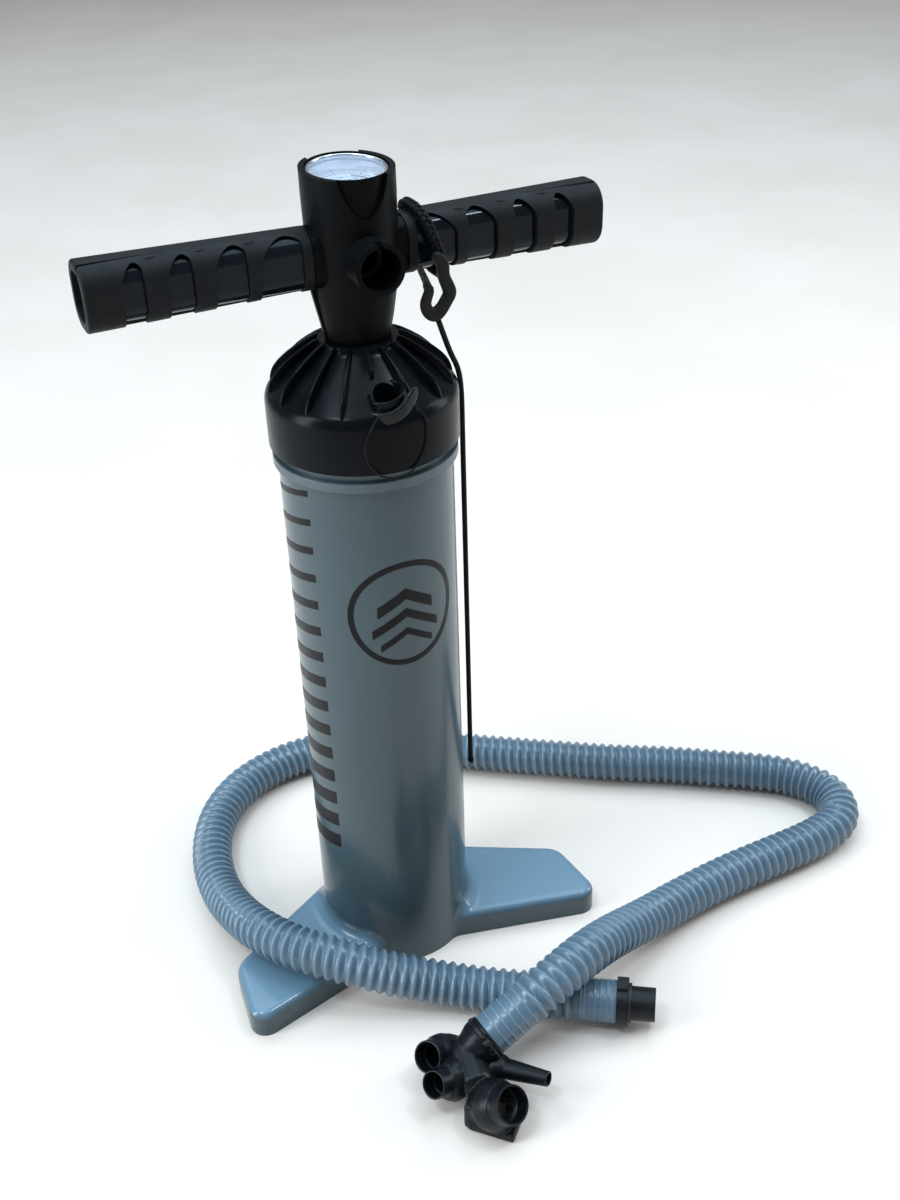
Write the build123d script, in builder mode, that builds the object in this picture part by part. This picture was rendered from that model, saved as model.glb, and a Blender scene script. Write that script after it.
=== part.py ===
from build123d import *
import math
import os

# Single-action stand pump for inflatables. Millimetres, +Z up along the barrel, origin on the floor at
# the barrel axis, T-handle along X, gauge and hose port facing -Y.
os.makedirs("parts", exist_ok=True)

# ---- driving dimensions ---------------------------------------------------------------------------
BARREL_R = 55.0  # outer radius of the pump barrel
BARREL_WALL = 3.5
BARREL_TOP = 430.0  # the barrel's neck, inside the cap's skirt
FLOOR_T = 6.0  # closed bottom of the barrel
LIP_R = 58.0
LIP_LOW, LIP_HIGH = 399.0, 405.0
CAP_BASE = 411.0  # lower edge of the cap
CAP_CEILING = 434.0  # flat underside of the cap, over the end of the barrel
CAP_R = 59.5
NECK_TOP = 475.8  # top of the cap's neck
HUB_LOW = NECK_TOP + 0.8  # foot of the handle's hub, just over the cap's neck
ROD_R = 12.0
HANDLE_Z = 526.7
HANDLE_HALF = 157.6
TOWER_R = 27.25
TOWER_TOP = 574.4
GAUGE_TILT = 5.0  # the gauge face leans to the front
STROKE = 340.0
RUN = 0.05  # radial clearance of a running fit
BORE_R = BARREL_R - BARREL_WALL
HOSE_R = 15.9  # over the ribs
CUFF_R = 15.2
LEASH_R = 1.75


def save(shape, name):
    """Label a finished piece and write it as one STEP file."""
    shape.label = name
    export_step(shape, f"parts/{name}.step")


def aim(origin, direction):
    """A plane whose Z runs along direction."""
    side = (1, 0, 0) if abs(direction[0]) < 0.9 * math.dist((0, 0, 0), direction) else (0, 0, 1)
    return Plane(origin=origin, x_dir=Vector(*side).cross(Vector(*direction)), z_dir=direction)


def along(start, direction, distance):
    """The point at a distance from start along direction."""
    size = math.dist((0, 0, 0), direction)
    return tuple(s + d * distance / size for s, d in zip(start, direction))


def spun(plane, outline):
    """A solid of revolution about the plane's Z, from its (radius, height) outline."""
    side = Plane(origin=plane.origin, x_dir=plane.x_dir, z_dir=-plane.y_dir)
    with BuildPart() as turned:
        with BuildSketch(side):
            with BuildLine():
                Polyline(*outline, close=True)
            make_face()
        revolve(axis=Axis(plane.origin, plane.z_dir))
    return turned.part


def ring(plane, outer, inner, low, high):
    """A plain ring between two heights on a plane."""
    return spun(plane, [(inner, low), (outer, low), (outer, high), (inner, high)])


def tube(points, radius, name):
    """A free cord's tube: straight runs joined by arcs as large as the runs allow."""
    runs = [math.dist(a, b) for a, b in zip(points, points[1:])]
    radii = []
    for i in range(1, len(points) - 1):
        before = Vector(*points[i]) - Vector(*points[i - 1])
        after = Vector(*points[i + 1]) - Vector(*points[i])
        half = math.radians(before.get_angle(after)) / 2
        radii.append(0.45 * min(runs[i - 1], runs[i]) / math.tan(half))
    with BuildPart() as piece:
        with BuildLine() as route:
            FilletPolyline(*points, radius=radii)
        with BuildSketch(Plane(origin=route.line @ 0, z_dir=route.line % 0)):
            Circle(radius)
        sweep()
    length = sum(edge.length for edge in route.edges())
    share = piece.part.volume / (math.pi * radius**2 * length)
    print(f"{name}: length {length:.0f}, volume share {share:.3f}, radii {[round(r) for r in radii]}")
    save(piece.part, name)


# ---- barrel with its two feet ---------------------------------------------------------------------
FOOT_T = 21.0
FOOT_TOP_ROUND = 6.0
FOOT_ROOT_ROUND = 12.0
FOOT_OUTLINE = [(20, 50), (136, -15.5), (142, -75.5), (26, -47)]  # right foot, seen from above


def foot_outline(side):
    """The plan of one foot, with its two rounded tip corners."""
    with BuildSketch() as plan:
        with BuildLine():
            Polyline(*[(side * x, y) for x, y in FOOT_OUTLINE], close=True)
        make_face()
        tips = plan.vertices().filter_by(lambda v: abs(v.X) > 100)
        fillet(tips.filter_by(lambda v: v.Y > -40), 18)
        fillet(plan.vertices().filter_by(lambda v: abs(v.X) > 100 and v.Y < -70), 12)
    return plan.sketch


def on_foot_root(edge):
    """Whether an edge is the arc where a foot's top meets the barrel."""
    middle = edge @ 0.5
    return abs(middle.Z - FOOT_T) < 1 and abs(math.hypot(middle.X, middle.Y) - BARREL_R) < 0.2


feet = [extrude(foot_outline(side), amount=FOOT_T) for side in (1, -1)]
with BuildPart() as barrel:
    add(feet)
    fillet(barrel.edges().filter_by(lambda e: e.center().Z > FOOT_T - 0.1), FOOT_TOP_ROUND)
    Cylinder(BARREL_R, BARREL_TOP, align=(Align.CENTER, Align.CENTER, Align.MIN))
    fillet(barrel.edges().filter_by(on_foot_root), FOOT_ROOT_ROUND)
    with Locations((0, 0, FLOOR_T)):
        Cylinder(BORE_R, BARREL_TOP, align=(Align.CENTER, Align.CENTER, Align.MIN), mode=Mode.SUBTRACT)
save(barrel.part, "barrel")

UPRIGHT = Plane.XY
save(ring(UPRIGHT, LIP_R, BARREL_R, LIP_LOW, LIP_HIGH), "barrel_lip")

# ---- screw cap with ribs, its neck and its port ---------------------------------------------------
RIBS = 16
RIB_W = 3.2
SKIRT_IN = BARREL_R + 0.3
PORT_AT = (-3.5, -48.0, 458.0)  # mouth of the cap port
PORT_AXIS = (-0.26, -0.12, 0.955)
PORT_R = 11.6
PORT_BORE_R = 9.4
PORT_BORE_DEEP = 12.0  # depth of the wide part of its bore
PORT_LENGTH = 21.0
NECK_R, NECK_BORE_R = 24.5, 17.0
NECK_LOW = 450.0  # the cap's underside round the neck
WIPER_LOW = NECK_TOP - 2.8
CAP_OUTLINE = [
    (CAP_R, CAP_BASE), (CAP_R, 439), (58.4, 443.5), (56, 447), (NECK_R, 471), (NECK_R, NECK_TOP),
    (NECK_BORE_R, NECK_TOP), (NECK_BORE_R, NECK_LOW), (25, NECK_LOW), (45, CAP_CEILING),
    (SKIRT_IN, CAP_CEILING), (SKIRT_IN, CAP_BASE),
]
RIB_OUTLINE = [
    (22, 466), (22, NECK_TOP + 0.2), (25, NECK_TOP + 0.2), (40, 467.6), (50.2, 459.6), (56.9, 449.3),
    (56.9, 440),
]

port = aim(PORT_AT, PORT_AXIS)
cap_shell = spun(UPRIGHT, CAP_OUTLINE)
port_tube = ring(port, PORT_R, 0.0, -PORT_LENGTH, 0)
cap_room = ring(UPRIGHT, 45.0, 0.0, 420, CAP_CEILING)
port_bore = ring(port, PORT_BORE_R, 0.0, -PORT_BORE_DEEP, 1)
port_throat = ring(port, PORT_BORE_R - 1.4, 0.0, -PORT_LENGTH - 20, 0)
port_clear = ring(port, PORT_R + 0.3, 0.0, 0, 14)
neck_bore = ring(UPRIGHT, NECK_BORE_R, 0.0, CAP_BASE, NECK_TOP + 5)
with BuildSketch(Plane.XZ) as rib_side:
    with BuildLine():
        Polyline(*RIB_OUTLINE, close=True)
    make_face()
rib = extrude(rib_side.sketch, amount=RIB_W / 2, both=True)
with BuildPart() as cap:
    add(cap_shell)
    with PolarLocations(0, RIBS, start_angle=11.25):
        add(rib)
    add(port_tube)
    add([cap_room, port_bore, port_throat, port_clear, neck_bore], mode=Mode.SUBTRACT)
save(cap.part, "cap")
save(ring(UPRIGHT, BARREL_R, BORE_R, BARREL_TOP + 0.05, CAP_CEILING - 0.05), "cap_seal")
save(ring(UPRIGHT, NECK_BORE_R - 0.1, ROD_R + RUN, NECK_LOW + 1, WIPER_LOW - 0.2), "rod_bush")
save(ring(UPRIGHT, NECK_BORE_R - 0.5, ROD_R + RUN, WIPER_LOW, NECK_TOP), "rod_wiper")

# strap that clips round the port, and its cord loop hanging over the skirt
strap_band = ring(port, PORT_R + 2.2, PORT_R + 0.05, -9.0, -1.5)
with BuildPart() as port_strap:
    add(strap_band)
    with BuildSketch(port.offset(-6.5)):
        with Locations((PORT_R + 2.8, 0)):
            Rectangle(3.4, 5)
    extrude(amount=4)
    with Locations((0, 26 + PORT_AT[1], PORT_AT[2])):
        Box(60, 30, 40, mode=Mode.SUBTRACT)
    add(cap.part, mode=Mode.SUBTRACT)
save(port_strap.solids().sort_by(SortBy.VOLUME)[-1], "port_strap")

# ---- piston, its seal and valves ------------------------------------------------------------------
PISTON_LOW, PISTON_HIGH = 14.0, 40.0
PISTON_R = BORE_R - 0.4
GROOVE_LOW, GROOVE_HIGH = 24.0, 30.0
FLAP_AT = (32.0, 0.0)
piston_outline = [
    (ROD_R + RUN, PISTON_LOW), (PISTON_R, PISTON_LOW), (PISTON_R, GROOVE_LOW), (PISTON_R - 5, GROOVE_LOW),
    (PISTON_R - 5, GROOVE_HIGH), (PISTON_R, GROOVE_HIGH), (PISTON_R, PISTON_HIGH - 6),
    (20, PISTON_HIGH - 6), (20, PISTON_HIGH), (ROD_R + RUN, PISTON_HIGH),
]
piston_body = spun(UPRIGHT, piston_outline)
with BuildPart() as piston_disc:
    add(piston_body)
    with Locations((FLAP_AT[0], FLAP_AT[1], PISTON_LOW)):
        Cylinder(5, 60, mode=Mode.SUBTRACT)
save(piston_disc.part, "piston_disc")
save(ring(UPRIGHT, BORE_R - RUN, PISTON_R - 4.95, GROOVE_LOW + 0.2, GROOVE_HIGH - 0.2), "piston_seal")
FLAP = Plane(origin=(FLAP_AT[0], FLAP_AT[1], PISTON_LOW))
VALVE_STEM_R = 2.0
INTAKE_OUTLINE = [
    (0, -2.2), (7.5, -2.2), (7.5, -0.2), (VALVE_STEM_R, -0.2), (VALVE_STEM_R, 18), (4.2, 18),
    (4.2, 19.6), (0, 19.6),
]
save(spun(FLAP, INTAKE_OUTLINE), "intake_valve")
guide_ring = ring(FLAP, 4.9, VALVE_STEM_R + RUN, 8.0, 12.0)
with BuildPart() as intake_guide:
    add(guide_ring)
    with Locations(FLAP):
        with GridLocations(6.8, 6.8, 2, 2):
            Cylinder(1.2, 60, mode=Mode.SUBTRACT)
save(intake_guide.part, "intake_guide")

# ---- rod, with its foot nut and outlet valve ------------------------------------------------------
ROD_LOW, ROD_HIGH = PISTON_LOW - 2.0, 505.0
ROD_BORE = 9.5
save(ring(UPRIGHT, ROD_R, ROD_BORE, ROD_LOW, ROD_HIGH), "piston_rod")
save(ring(UPRIGHT, 18.0, ROD_R, PISTON_HIGH + 0.1, PISTON_HIGH + 5), "rod_collar")
with BuildPart() as rod_nut:
    with BuildSketch(Plane.XY.offset(ROD_LOW - 4)):
        RegularPolygon(15, 6)
        Circle(5, mode=Mode.SUBTRACT)
    extrude(amount=5.9)
    with BuildSketch(Plane.XY.offset(ROD_LOW)):
        Circle(ROD_R)
    extrude(amount=5.9, mode=Mode.SUBTRACT)
save(rod_nut.part, "rod_nut")
save(ring(UPRIGHT, ROD_BORE - 0.1, 5.0, ROD_LOW + 0.1, ROD_LOW + 4), "outlet_seat")
OUTLET_OUTLINE = [
    (0, ROD_LOW + 4.2), (7, ROD_LOW + 4.2), (7, ROD_LOW + 6.2), (VALVE_STEM_R, ROD_LOW + 6.2),
    (VALVE_STEM_R, ROD_LOW + 22), (0, ROD_LOW + 22),
]
save(spun(UPRIGHT, OUTLET_OUTLINE), "outlet_valve")
guide_ring = ring(UPRIGHT, ROD_BORE - 0.1, VALVE_STEM_R + RUN, ROD_LOW + 12, ROD_LOW + 16)
with BuildPart() as outlet_guide:
    add(guide_ring)
    with BuildSketch(Plane.XY.offset(ROD_LOW + 11)):
        with PolarLocations(5.6, 4):
            Circle(1.9)
    extrude(amount=6, mode=Mode.SUBTRACT)
save(outlet_guide.part, "outlet_guide")

# ---- hub: gauge tower, hose port, arm sockets, gussets --------------------------------------------
tilt = math.radians(GAUGE_TILT)
FACE = Plane(origin=(0, 0, TOWER_TOP), x_dir=(1, 0, 0), z_dir=(0, -math.sin(tilt), math.cos(tilt)))
HUB_OUTLINE = [
    (0, HUB_LOW), (19.6, HUB_LOW), (22.2, 489), (24.6, 503), (26.2, 520), (26.9, 545), (TOWER_R, 560),
    (TOWER_R, TOWER_TOP + 30), (0, TOWER_TOP + 30),
]
GUSSET_OUTLINE = [(15, HUB_LOW + 0.2), (20.6, HUB_LOW + 0.2), (28.2, 512), (15, 512)]
GAUGE_R = 23.6
POCKET_DEPTH = 14.0
TUBE_HIGH, TUBE_DEEP, TUBE_ROUND = 31.0, 27.0, 8.5
SOCKET_X = 19.0
HOSE_PORT_Y = -42.5
HOSE_PORT_R, HOSE_PORT_BORE = 14.8, 12.0
HOSE_PORT_END = -18.0
SEAL_POCKET_R, SEAL_POCKET_END = 11.0, -15.0


def rounded(plane, high, deep, corner):
    """A rounded rectangle on a plane across the handle."""
    with BuildSketch(plane) as section:
        RectangleRounded(deep, high, corner)
    return section.sketch


def across(x):
    """The plane across the handle at x, its local X along Y and its local Y up."""
    return Plane(origin=(x, 0, HANDLE_Z), x_dir=(0, 1, 0), z_dir=(1, 0, 0))


def scallop(facing):
    """The wedge-shaped hollow in the tower's rim, facing -Y or +Y."""
    with BuildPart() as wedge:
        with BuildSketch(Plane.XZ):
            with BuildLine():
                Spline((-20, 585), (-14, 569), (-6, 553.5), (0, 549.6), (6, 553.5), (14, 569), (20, 585))
                Line((20, 585), (-20, 585))
            make_face()
        extrude(amount=-facing * 40)
        Cylinder(GAUGE_R + 0.9, 2000, mode=Mode.SUBTRACT)
    return wedge.part


def gusset(side):
    """The thin web that carries an arm down to the foot of the hub."""
    with BuildPart() as web:
        with BuildSketch(Plane.XZ):
            with BuildLine():
                Polyline(*[(side * x, z) for x, z in GUSSET_OUTLINE], close=True)
            make_face()
        extrude(amount=1.6, both=True)
    return web.part


front = aim((0, 0, HANDLE_Z), (0, -1, 0))
hub_solids = [spun(UPRIGHT, HUB_OUTLINE), ring(front, HOSE_PORT_R, 0.0, 0, -HOSE_PORT_Y)]
hub_hollows = [
    ring(FACE, GAUGE_R + 0.3, 0.0, -POCKET_DEPTH, 2),
    ring(front, HOSE_PORT_BORE, 0.0, -HOSE_PORT_END, 60),
    ring(front, SEAL_POCKET_R, 0.0, -SEAL_POCKET_END, -HOSE_PORT_END + 1),
    ring(front, 8.0, 0.0, 0, 20),
    ring(UPRIGHT, ROD_R, 0.0, 470, ROD_HIGH),
    ring(UPRIGHT, 8.0, 0.0, 500, HANDLE_Z),
    ring(UPRIGHT, 1.5, 0.0, HANDLE_Z, 570),
]
for side in (1, -1):
    hub_solids.append(extrude(rounded(across(side * 20), 33.0, 29.5, 9.0), amount=side * 8.6))
    hub_solids.append(gusset(side))
    hub_hollows.append(scallop(side))
    pocket = rounded(across(side * SOCKET_X), TUBE_HIGH, TUBE_DEEP, TUBE_ROUND)
    hub_hollows.append(extrude(pocket, amount=side * 20))
with BuildPart() as hub:
    add(hub_solids)
    split(bisect_by=FACE, keep=Keep.BOTTOM)
    add(hub_hollows, mode=Mode.SUBTRACT)
    with BuildSketch(Plane.XZ.offset(-HOSE_PORT_Y)):
        with Locations((0, HANDLE_Z + 13)):
            Rectangle(4.5, 5)
    extrude(amount=-6, mode=Mode.SUBTRACT)
save(hub.part, "hub")
port_seal = ring(front, SEAL_POCKET_R - 0.1, 8.4, -SEAL_POCKET_END + 0.1, -SEAL_POCKET_END + 2.6)
save(port_seal, "hose_port_seal")

# ---- gauge ----------------------------------------------------------------------------------------
LENS_TOP = -1.0
PIVOT_R = 0.8
CASE_OUTLINE = [(0, -13.5), (GAUGE_R, -13.5), (GAUGE_R, -4.0), (22.6, -4.0), (22.6, -12), (0, -12)]
save(spun(FACE, CASE_OUTLINE), "gauge_case")
save(spun(FACE, [(0.9, -11.9), (22.5, -11.9), (22.5, -11.1), (0.9, -11.1)]), "gauge_dial")
save(spun(FACE, [(0, -11.9), (PIVOT_R, -11.9), (PIVOT_R, -8.2), (0, -8.2)]), "gauge_pivot")
save(spun(FACE, [(0, -3.9), (GAUGE_R, -3.9), (GAUGE_R, -2.2), (22.4, LENS_TOP), (0, LENS_TOP)]), "gauge_lens")
needle_boss = ring(FACE, 2.2, PIVOT_R + RUN, -10.2, -8.6)
with BuildPart() as needle:
    add(needle_boss)
    with BuildSketch(FACE.offset(-9.8)):
        with BuildLine():
            Polyline((-12, 10.5), (-1.4, -0.4), (-1.0, -1.6), (1.6, 1.0), (0.4, 1.4), close=True)
        make_face()
        Circle(2.0, mode=Mode.SUBTRACT)
    extrude(amount=0.6)
save(needle.part, "gauge_needle")

# ---- handle tubes and rubber grips ----------------------------------------------------------------
GRIP_START = 29.2
TUBE_END = 152.0
TUBE_WALL = 2.8
WINDOWS = [(34.5, 60.0), (67.0, 86.0), (97.5, 112.0), (124.5, 137.0)]  # |x| spans of the grip's windows
GROOVE_END = 108.0


def window(side, start, stop, face):
    """The cutter for one D-shaped window, arched at its top on the outer side."""
    top, low = HANDLE_Z + 16.6, HANDLE_Z - 30
    wide = stop - start
    with BuildPart() as cutter:
        with BuildSketch(Plane.XZ.offset(-face * 3)):
            with BuildLine():
                Polyline((side * stop, low), (side * start, low), (side * start, top - 3))
                Spline(
                    (side * start, top - 3),
                    (side * (start + 0.3 * wide), top),
                    (side * (start + 0.75 * wide), top - 3.5),
                    (side * stop, top - 13),
                )
                Line((side * stop, top - 13), (side * stop, low))
            make_face()
        extrude(amount=-face * 30)
    return cutter.part


def grip(side):
    """One rubber sleeve, with windows to the front and back and a groove along its top."""
    near = rounded(across(side * GRIP_START), 34.6, 31.0, 12.5)
    far = rounded(across(side * HANDLE_HALF), 38.4, 35.0, 14)
    inner = rounded(across(side * (GRIP_START - 1)), TUBE_HIGH + 0.1, TUBE_DEEP + 0.1, TUBE_ROUND)
    mouth = rounded(across(side * (TUBE_END - 2)), 27.0, 23.0, 8.0)
    hollows = [extrude(inner, amount=side * (TUBE_END + 1.2 - GRIP_START)), extrude(mouth, amount=side * 12)]
    for start, stop in WINDOWS:
        hollows += [window(side, start, stop, face) for face in (-1, 1)]
    with BuildPart() as sleeve:
        loft([near, far])
        fillet(sleeve.faces().sort_by(Axis.X)[-1 if side > 0 else 0].edges(), 1.5)
        add(hollows, mode=Mode.SUBTRACT)
        with BuildSketch(Plane.XY.offset(HANDLE_Z + 10)):
            with BuildLine():
                Polyline((side * GROOVE_END, -4.6), (side * 170, -9.0), (side * 170, -6.6), close=True)
            make_face()
        extrude(amount=20, mode=Mode.SUBTRACT)
    return sleeve.part


def arm(side):
    """One glossy handle tube, closed where it enters the hub and open at its outer end."""
    high, deep = TUBE_HIGH - 2 * TUBE_WALL, TUBE_DEEP - 2 * TUBE_WALL
    outer = rounded(across(side * SOCKET_X), TUBE_HIGH, TUBE_DEEP, TUBE_ROUND)
    inner = rounded(across(side * (SOCKET_X + 12)), high, deep, TUBE_ROUND - TUBE_WALL)
    hollow = extrude(inner, amount=side * TUBE_END)
    with BuildPart() as bar:
        extrude(outer, amount=side * (TUBE_END - SOCKET_X))
        add(hollow, mode=Mode.SUBTRACT)
    return bar.part


for side, hand in ((1, "right"), (-1, "left")):
    save(arm(side), f"handle_arm_{hand}")
    save(grip(side), f"grip_{hand}")

# ---- hose: route on the floor, over one foot and over itself --------------------------------------
HOSE_START = (77.5, -158.6, 18.6)  # raised, because the connector's lower lug rests on the floor
HOSE_ROUTE = [
    HOSE_START,
    (47, -137, 17.5), (16, -116, 17.2), (-13, -98.5, 22), (-41, -85, 31), (-70, -68, 42),
    (-97, -43, 44.5), (-113, -11, 40), (-120, 25, 28), (-123, 66, 17.5), (-117.5, 109, 16.2),
    (-100, 149, 16.5), (-72.5, 177, 16.3), (-38.5, 192, 16.2), (-1, 196, 16.5), (41, 188, 16.3),
    (81, 165.5, 16.2), (119.5, 137, 16.5), (158.3, 109.8, 16.3), (195.6, 84.6, 16.2), (235, 57.5, 16.4),
    (275, 34.5, 16.3), (309.5, 10.6, 16.2), (337, -8.5, 16.4), (362, -30, 16.3), (377, -62, 16.2),
    (362, -92, 16.4), (328, -99.5, 16.3), (285, -100.2, 16.2), (237, -101.5, 16.5), (190, -107.5, 17.5),
    (150, -119, 25), (115, -132.5, 39), (85, -147.5, 52), (51, -159.5, 53), (22, -163.5, 43),
    (-2.4, -165.5, 32),
]
CUFF_DIRECTION = tuple(a - b for a, b in zip(HOSE_START, HOSE_ROUTE[1]))
CUFF_LENGTH = 22.0
CONNECTOR_FACE = along(HOSE_START, CUFF_DIRECTION, CUFF_LENGTH)
tube(HOSE_ROUTE, HOSE_R, "hose_tube")
cuff = aim(HOSE_START, CUFF_DIRECTION)
CUFF_BORE = 11.1
save(ring(cuff, CUFF_R, CUFF_BORE, 0, CUFF_LENGTH), "hose_cuff")

# bayonet connector: flange, two lugs, tube with a locking pip
CONNECTOR_R, CONNECTOR_BORE = 11.8, 9.5
CONNECTOR_STEP_R = 12.4  # the seal's seat
plug = aim(CONNECTOR_FACE, CUFF_DIRECTION)
CONNECTOR_OUTLINE = [
    (CONNECTOR_BORE, -20), (CUFF_BORE - 0.1, -20), (CUFF_BORE - 0.1, 0.1), (16.8, 0.1), (16.8, 8),
    (CONNECTOR_STEP_R, 8), (CONNECTOR_STEP_R, 10.2), (CONNECTOR_R, 10.2), (CONNECTOR_R, 27),
    (CONNECTOR_BORE, 27),
]
connector_body = spun(plug, CONNECTOR_OUTLINE)
with BuildPart() as connector:
    add(connector_body)
    with BuildSketch(plug.offset(0.1)):
        Rectangle(38, 11)
        Circle(13, mode=Mode.SUBTRACT)
    extrude(amount=7.9)
save(connector.part, "hose_connector")
save(ring(plug, CONNECTOR_STEP_R + 1.2, CONNECTOR_STEP_R + 0.05, 8.1, 10.1), "connector_seal")

# ---- nozzle set tied to the other end of the hose -------------------------------------------------
NOZZLES = {  # mouth, the way it faces, then outer and inner (radius, height) lines from the mouth back
    "nozzle_wide": (
        (-47.3, -161.4, 29.6), (-0.764, -0.312, 0.563),
        [(11, 0), (11, -8), (13, -12), (13.4, -18), (10.5, -25)],
        [(9.4, 0), (9.4, -10), (8.4, -10), (8.4, -17), (6, -25)],
    ),
    "nozzle_small": (
        (-53.0, -183.2, 29.6), (-0.804, -0.296, 0.512),
        [(9.5, 0), (9.5, -11.2), (12, -13.5), (14.6, -20), (12, -27)],
        [(8, 0), (8, -10), (7, -10), (7, -18), (5, -27)],
    ),
    "nozzle_ring": (
        (-14.2, -221.7, 31.7), (0.306, -0.702, 0.643),
        [(12.8, 0), (13.2, -8), (14.6, -14), (14.6, -20), (12, -25)],
        [(11.2, 0), (11.2, -10), (10.2, -10), (10.2, -18), (8, -25)],
    ),
    "nozzle_taper": (
        (18.4, -210.2, 25), (0.584, -0.76, 0.2),
        [(5.2, 0), (7, -31), (7, -34)],
        [(3.6, 0), (5.3, -31), (5.3, -34)],
    ),
}
NOZZLE_GAP = 0.05  # between a nozzle and what is cut to fit round it
taken = []  # the room of the nozzles made so far
for name, (mouth, direction, outer, inner) in NOZZLES.items():
    mouth_plane = aim(mouth, direction)
    nozzle_body = spun(mouth_plane, outer + inner[::-1])
    with BuildPart() as nozzle:
        add(nozzle_body)
        if taken:
            add(taken, mode=Mode.SUBTRACT)
    save(nozzle.solids().sort_by(SortBy.VOLUME)[-1], name)
    room = [(r + NOZZLE_GAP, z) for r, z in outer]
    taken.append(spun(mouth_plane, [(0, NOZZLE_GAP)] + room + [(0, outer[-1][1] - NOZZLE_GAP)]))


def fitted(shape, name):
    """Save a piece after it is cut to fit round the nozzles."""
    with BuildPart() as piece:
        add(shape)
        add(taken, mode=Mode.SUBTRACT)
    save(piece.solids().sort_by(SortBy.VOLUME)[-1], name)


HOSE_END = HOSE_ROUTE[-1]
COLLAR_DIRECTION = tuple(a - b for a, b in zip(HOSE_END, HOSE_ROUTE[-2]))
collar = aim(HOSE_END, COLLAR_DIRECTION)
COLLAR_OUTLINE = [(11, 0.1), (15.6, 0.1), (15.6, 9), (12.4, 17), (12.4, 21), (9.5, 21), (9.5, 9), (11, 5)]
fitted(spun(collar, COLLAR_OUTLINE), "nozzle_collar")
save(ring(collar, 17.0, 15.7, 2.5, 6.0), "nozzle_tie")
CARRIER_AT = along(HOSE_END, COLLAR_DIRECTION, 21.1)
carrier = aim(CARRIER_AT, (-0.1, -0.97, -0.22))
fitted(ring(carrier, 11.0, 4.0, -4, 22), "nozzle_carrier")

# ---- leash: noose on the right grip, snap hook, and the cord that hangs from it -------------------
NOOSE_R = 3.1
noose_plane = Plane(origin=(45, 0, HANDLE_Z), x_dir=(0, 1, 0), z_dir=(0.94, 0, 0.34))
noose_path = rounded(noose_plane, 44.8, 38.6, 16).wire()
with BuildPart() as leash_noose:
    with BuildSketch(Plane(origin=noose_path @ 0, z_dir=noose_path % 0)):
        Circle(NOOSE_R)
    sweep(path=noose_path)
save(leash_noose.part, "leash_noose")

HOOK_FRONT, HOOK_BACK = -27.8, -22.8
HOOK_OUTLINE = [
    (42.5, 523), (50, 523), (56, 500.5), (46.5, 486), (39.5, 484.5), (32.5, 493), (33.5, 501), (40, 505.5),
]
HOOK_HOLE = [
    (46, 518), (47, 517), (50.8, 501.5), (44.5, 492), (40.5, 491), (38.5, 494.5), (43.5, 500.5), (44.5, 508),
]
GATE_OUTLINE = [(34.4, 504), (37.4, 507), (31.5, 520), (28.7, 518.8)]
GATE_AT = (36.0, 505.0)
GATE_FRONT, GATE_BACK = -27.0, -24.2
with BuildPart() as snap_hook:
    with BuildSketch(Plane.XZ.offset(-HOOK_BACK)):
        with BuildLine():
            Polyline(*HOOK_OUTLINE, close=True)
        make_face()
        with BuildLine():
            Polyline(*HOOK_HOLE, close=True)
        make_face(mode=Mode.SUBTRACT)
    extrude(amount=HOOK_BACK - HOOK_FRONT)
    with BuildSketch(Plane.XZ.offset(-GATE_BACK - 0.2)):
        with Locations(GATE_AT):
            Circle(2.9)
    extrude(amount=6, mode=Mode.SUBTRACT)
    with BuildSketch(Plane.XZ.offset(-HOOK_BACK)):
        with Locations(GATE_AT):
            Circle(2.6)
    extrude(amount=HOOK_BACK - GATE_BACK - 0.2)
    with BuildSketch(Plane.XZ.offset(-HOOK_BACK)):
        with Locations(GATE_AT):
            Circle(1.0)
    extrude(amount=HOOK_BACK - GATE_FRONT + 0.4)
save(snap_hook.part, "snap_hook")
with BuildPart() as snap_gate:
    with BuildSketch(Plane.XZ.offset(-GATE_BACK)):
        with BuildLine():
            Polyline(*GATE_OUTLINE, close=True)
        make_face()
        with Locations(GATE_AT):
            Circle(2.4)
            Circle(1.0 + RUN, mode=Mode.SUBTRACT)
    extrude(amount=GATE_BACK - GATE_FRONT)
save(snap_gate.part, "snap_gate")

LEASH_ROUTE = [
    (41.5, -25.3, 484.4), (45.4, -23.6, 474), (50.6, -20.6, 461.5), (57.6, -17, 448.5), (60.3, -14.9, 433),
    (60.5, -14.3, 404), (60.4, -14.6, 350), (60.55, -14.2, 295), (60.4, -14.6, 240), (60.5, -14.3, 190),
    (60.4, -14.6, 142),
]
tube(LEASH_ROUTE, LEASH_R, "leash_cord")
KNOT_AT = (60.7, -14.7, 142)  # a little further out than the cord, to pass the cap
save(ring(Plane(origin=KNOT_AT), 2.4, 0.0, -7.1, -0.1), "leash_knot")

LOOP_ROUTE = [
    (9.4, -57.6, 450.5), (15.6, -58.9, 444), (17.9, -58.2, 432), (15.2, -58.8, 420), (7, -60.4, 411),
    (-3, -60.8, 408.2), (-13.5, -59.6, 410), (-21, -57.2, 418.5), (-22.6, -56.6, 431), (-18.5, -58.2, 442),
    (-13.4, -59.3, 449),
]
tube(LOOP_ROUTE, 0.6, "port_loop")
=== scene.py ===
import math

import bmesh
import bpy
from mathutils import Matrix, Vector


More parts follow.
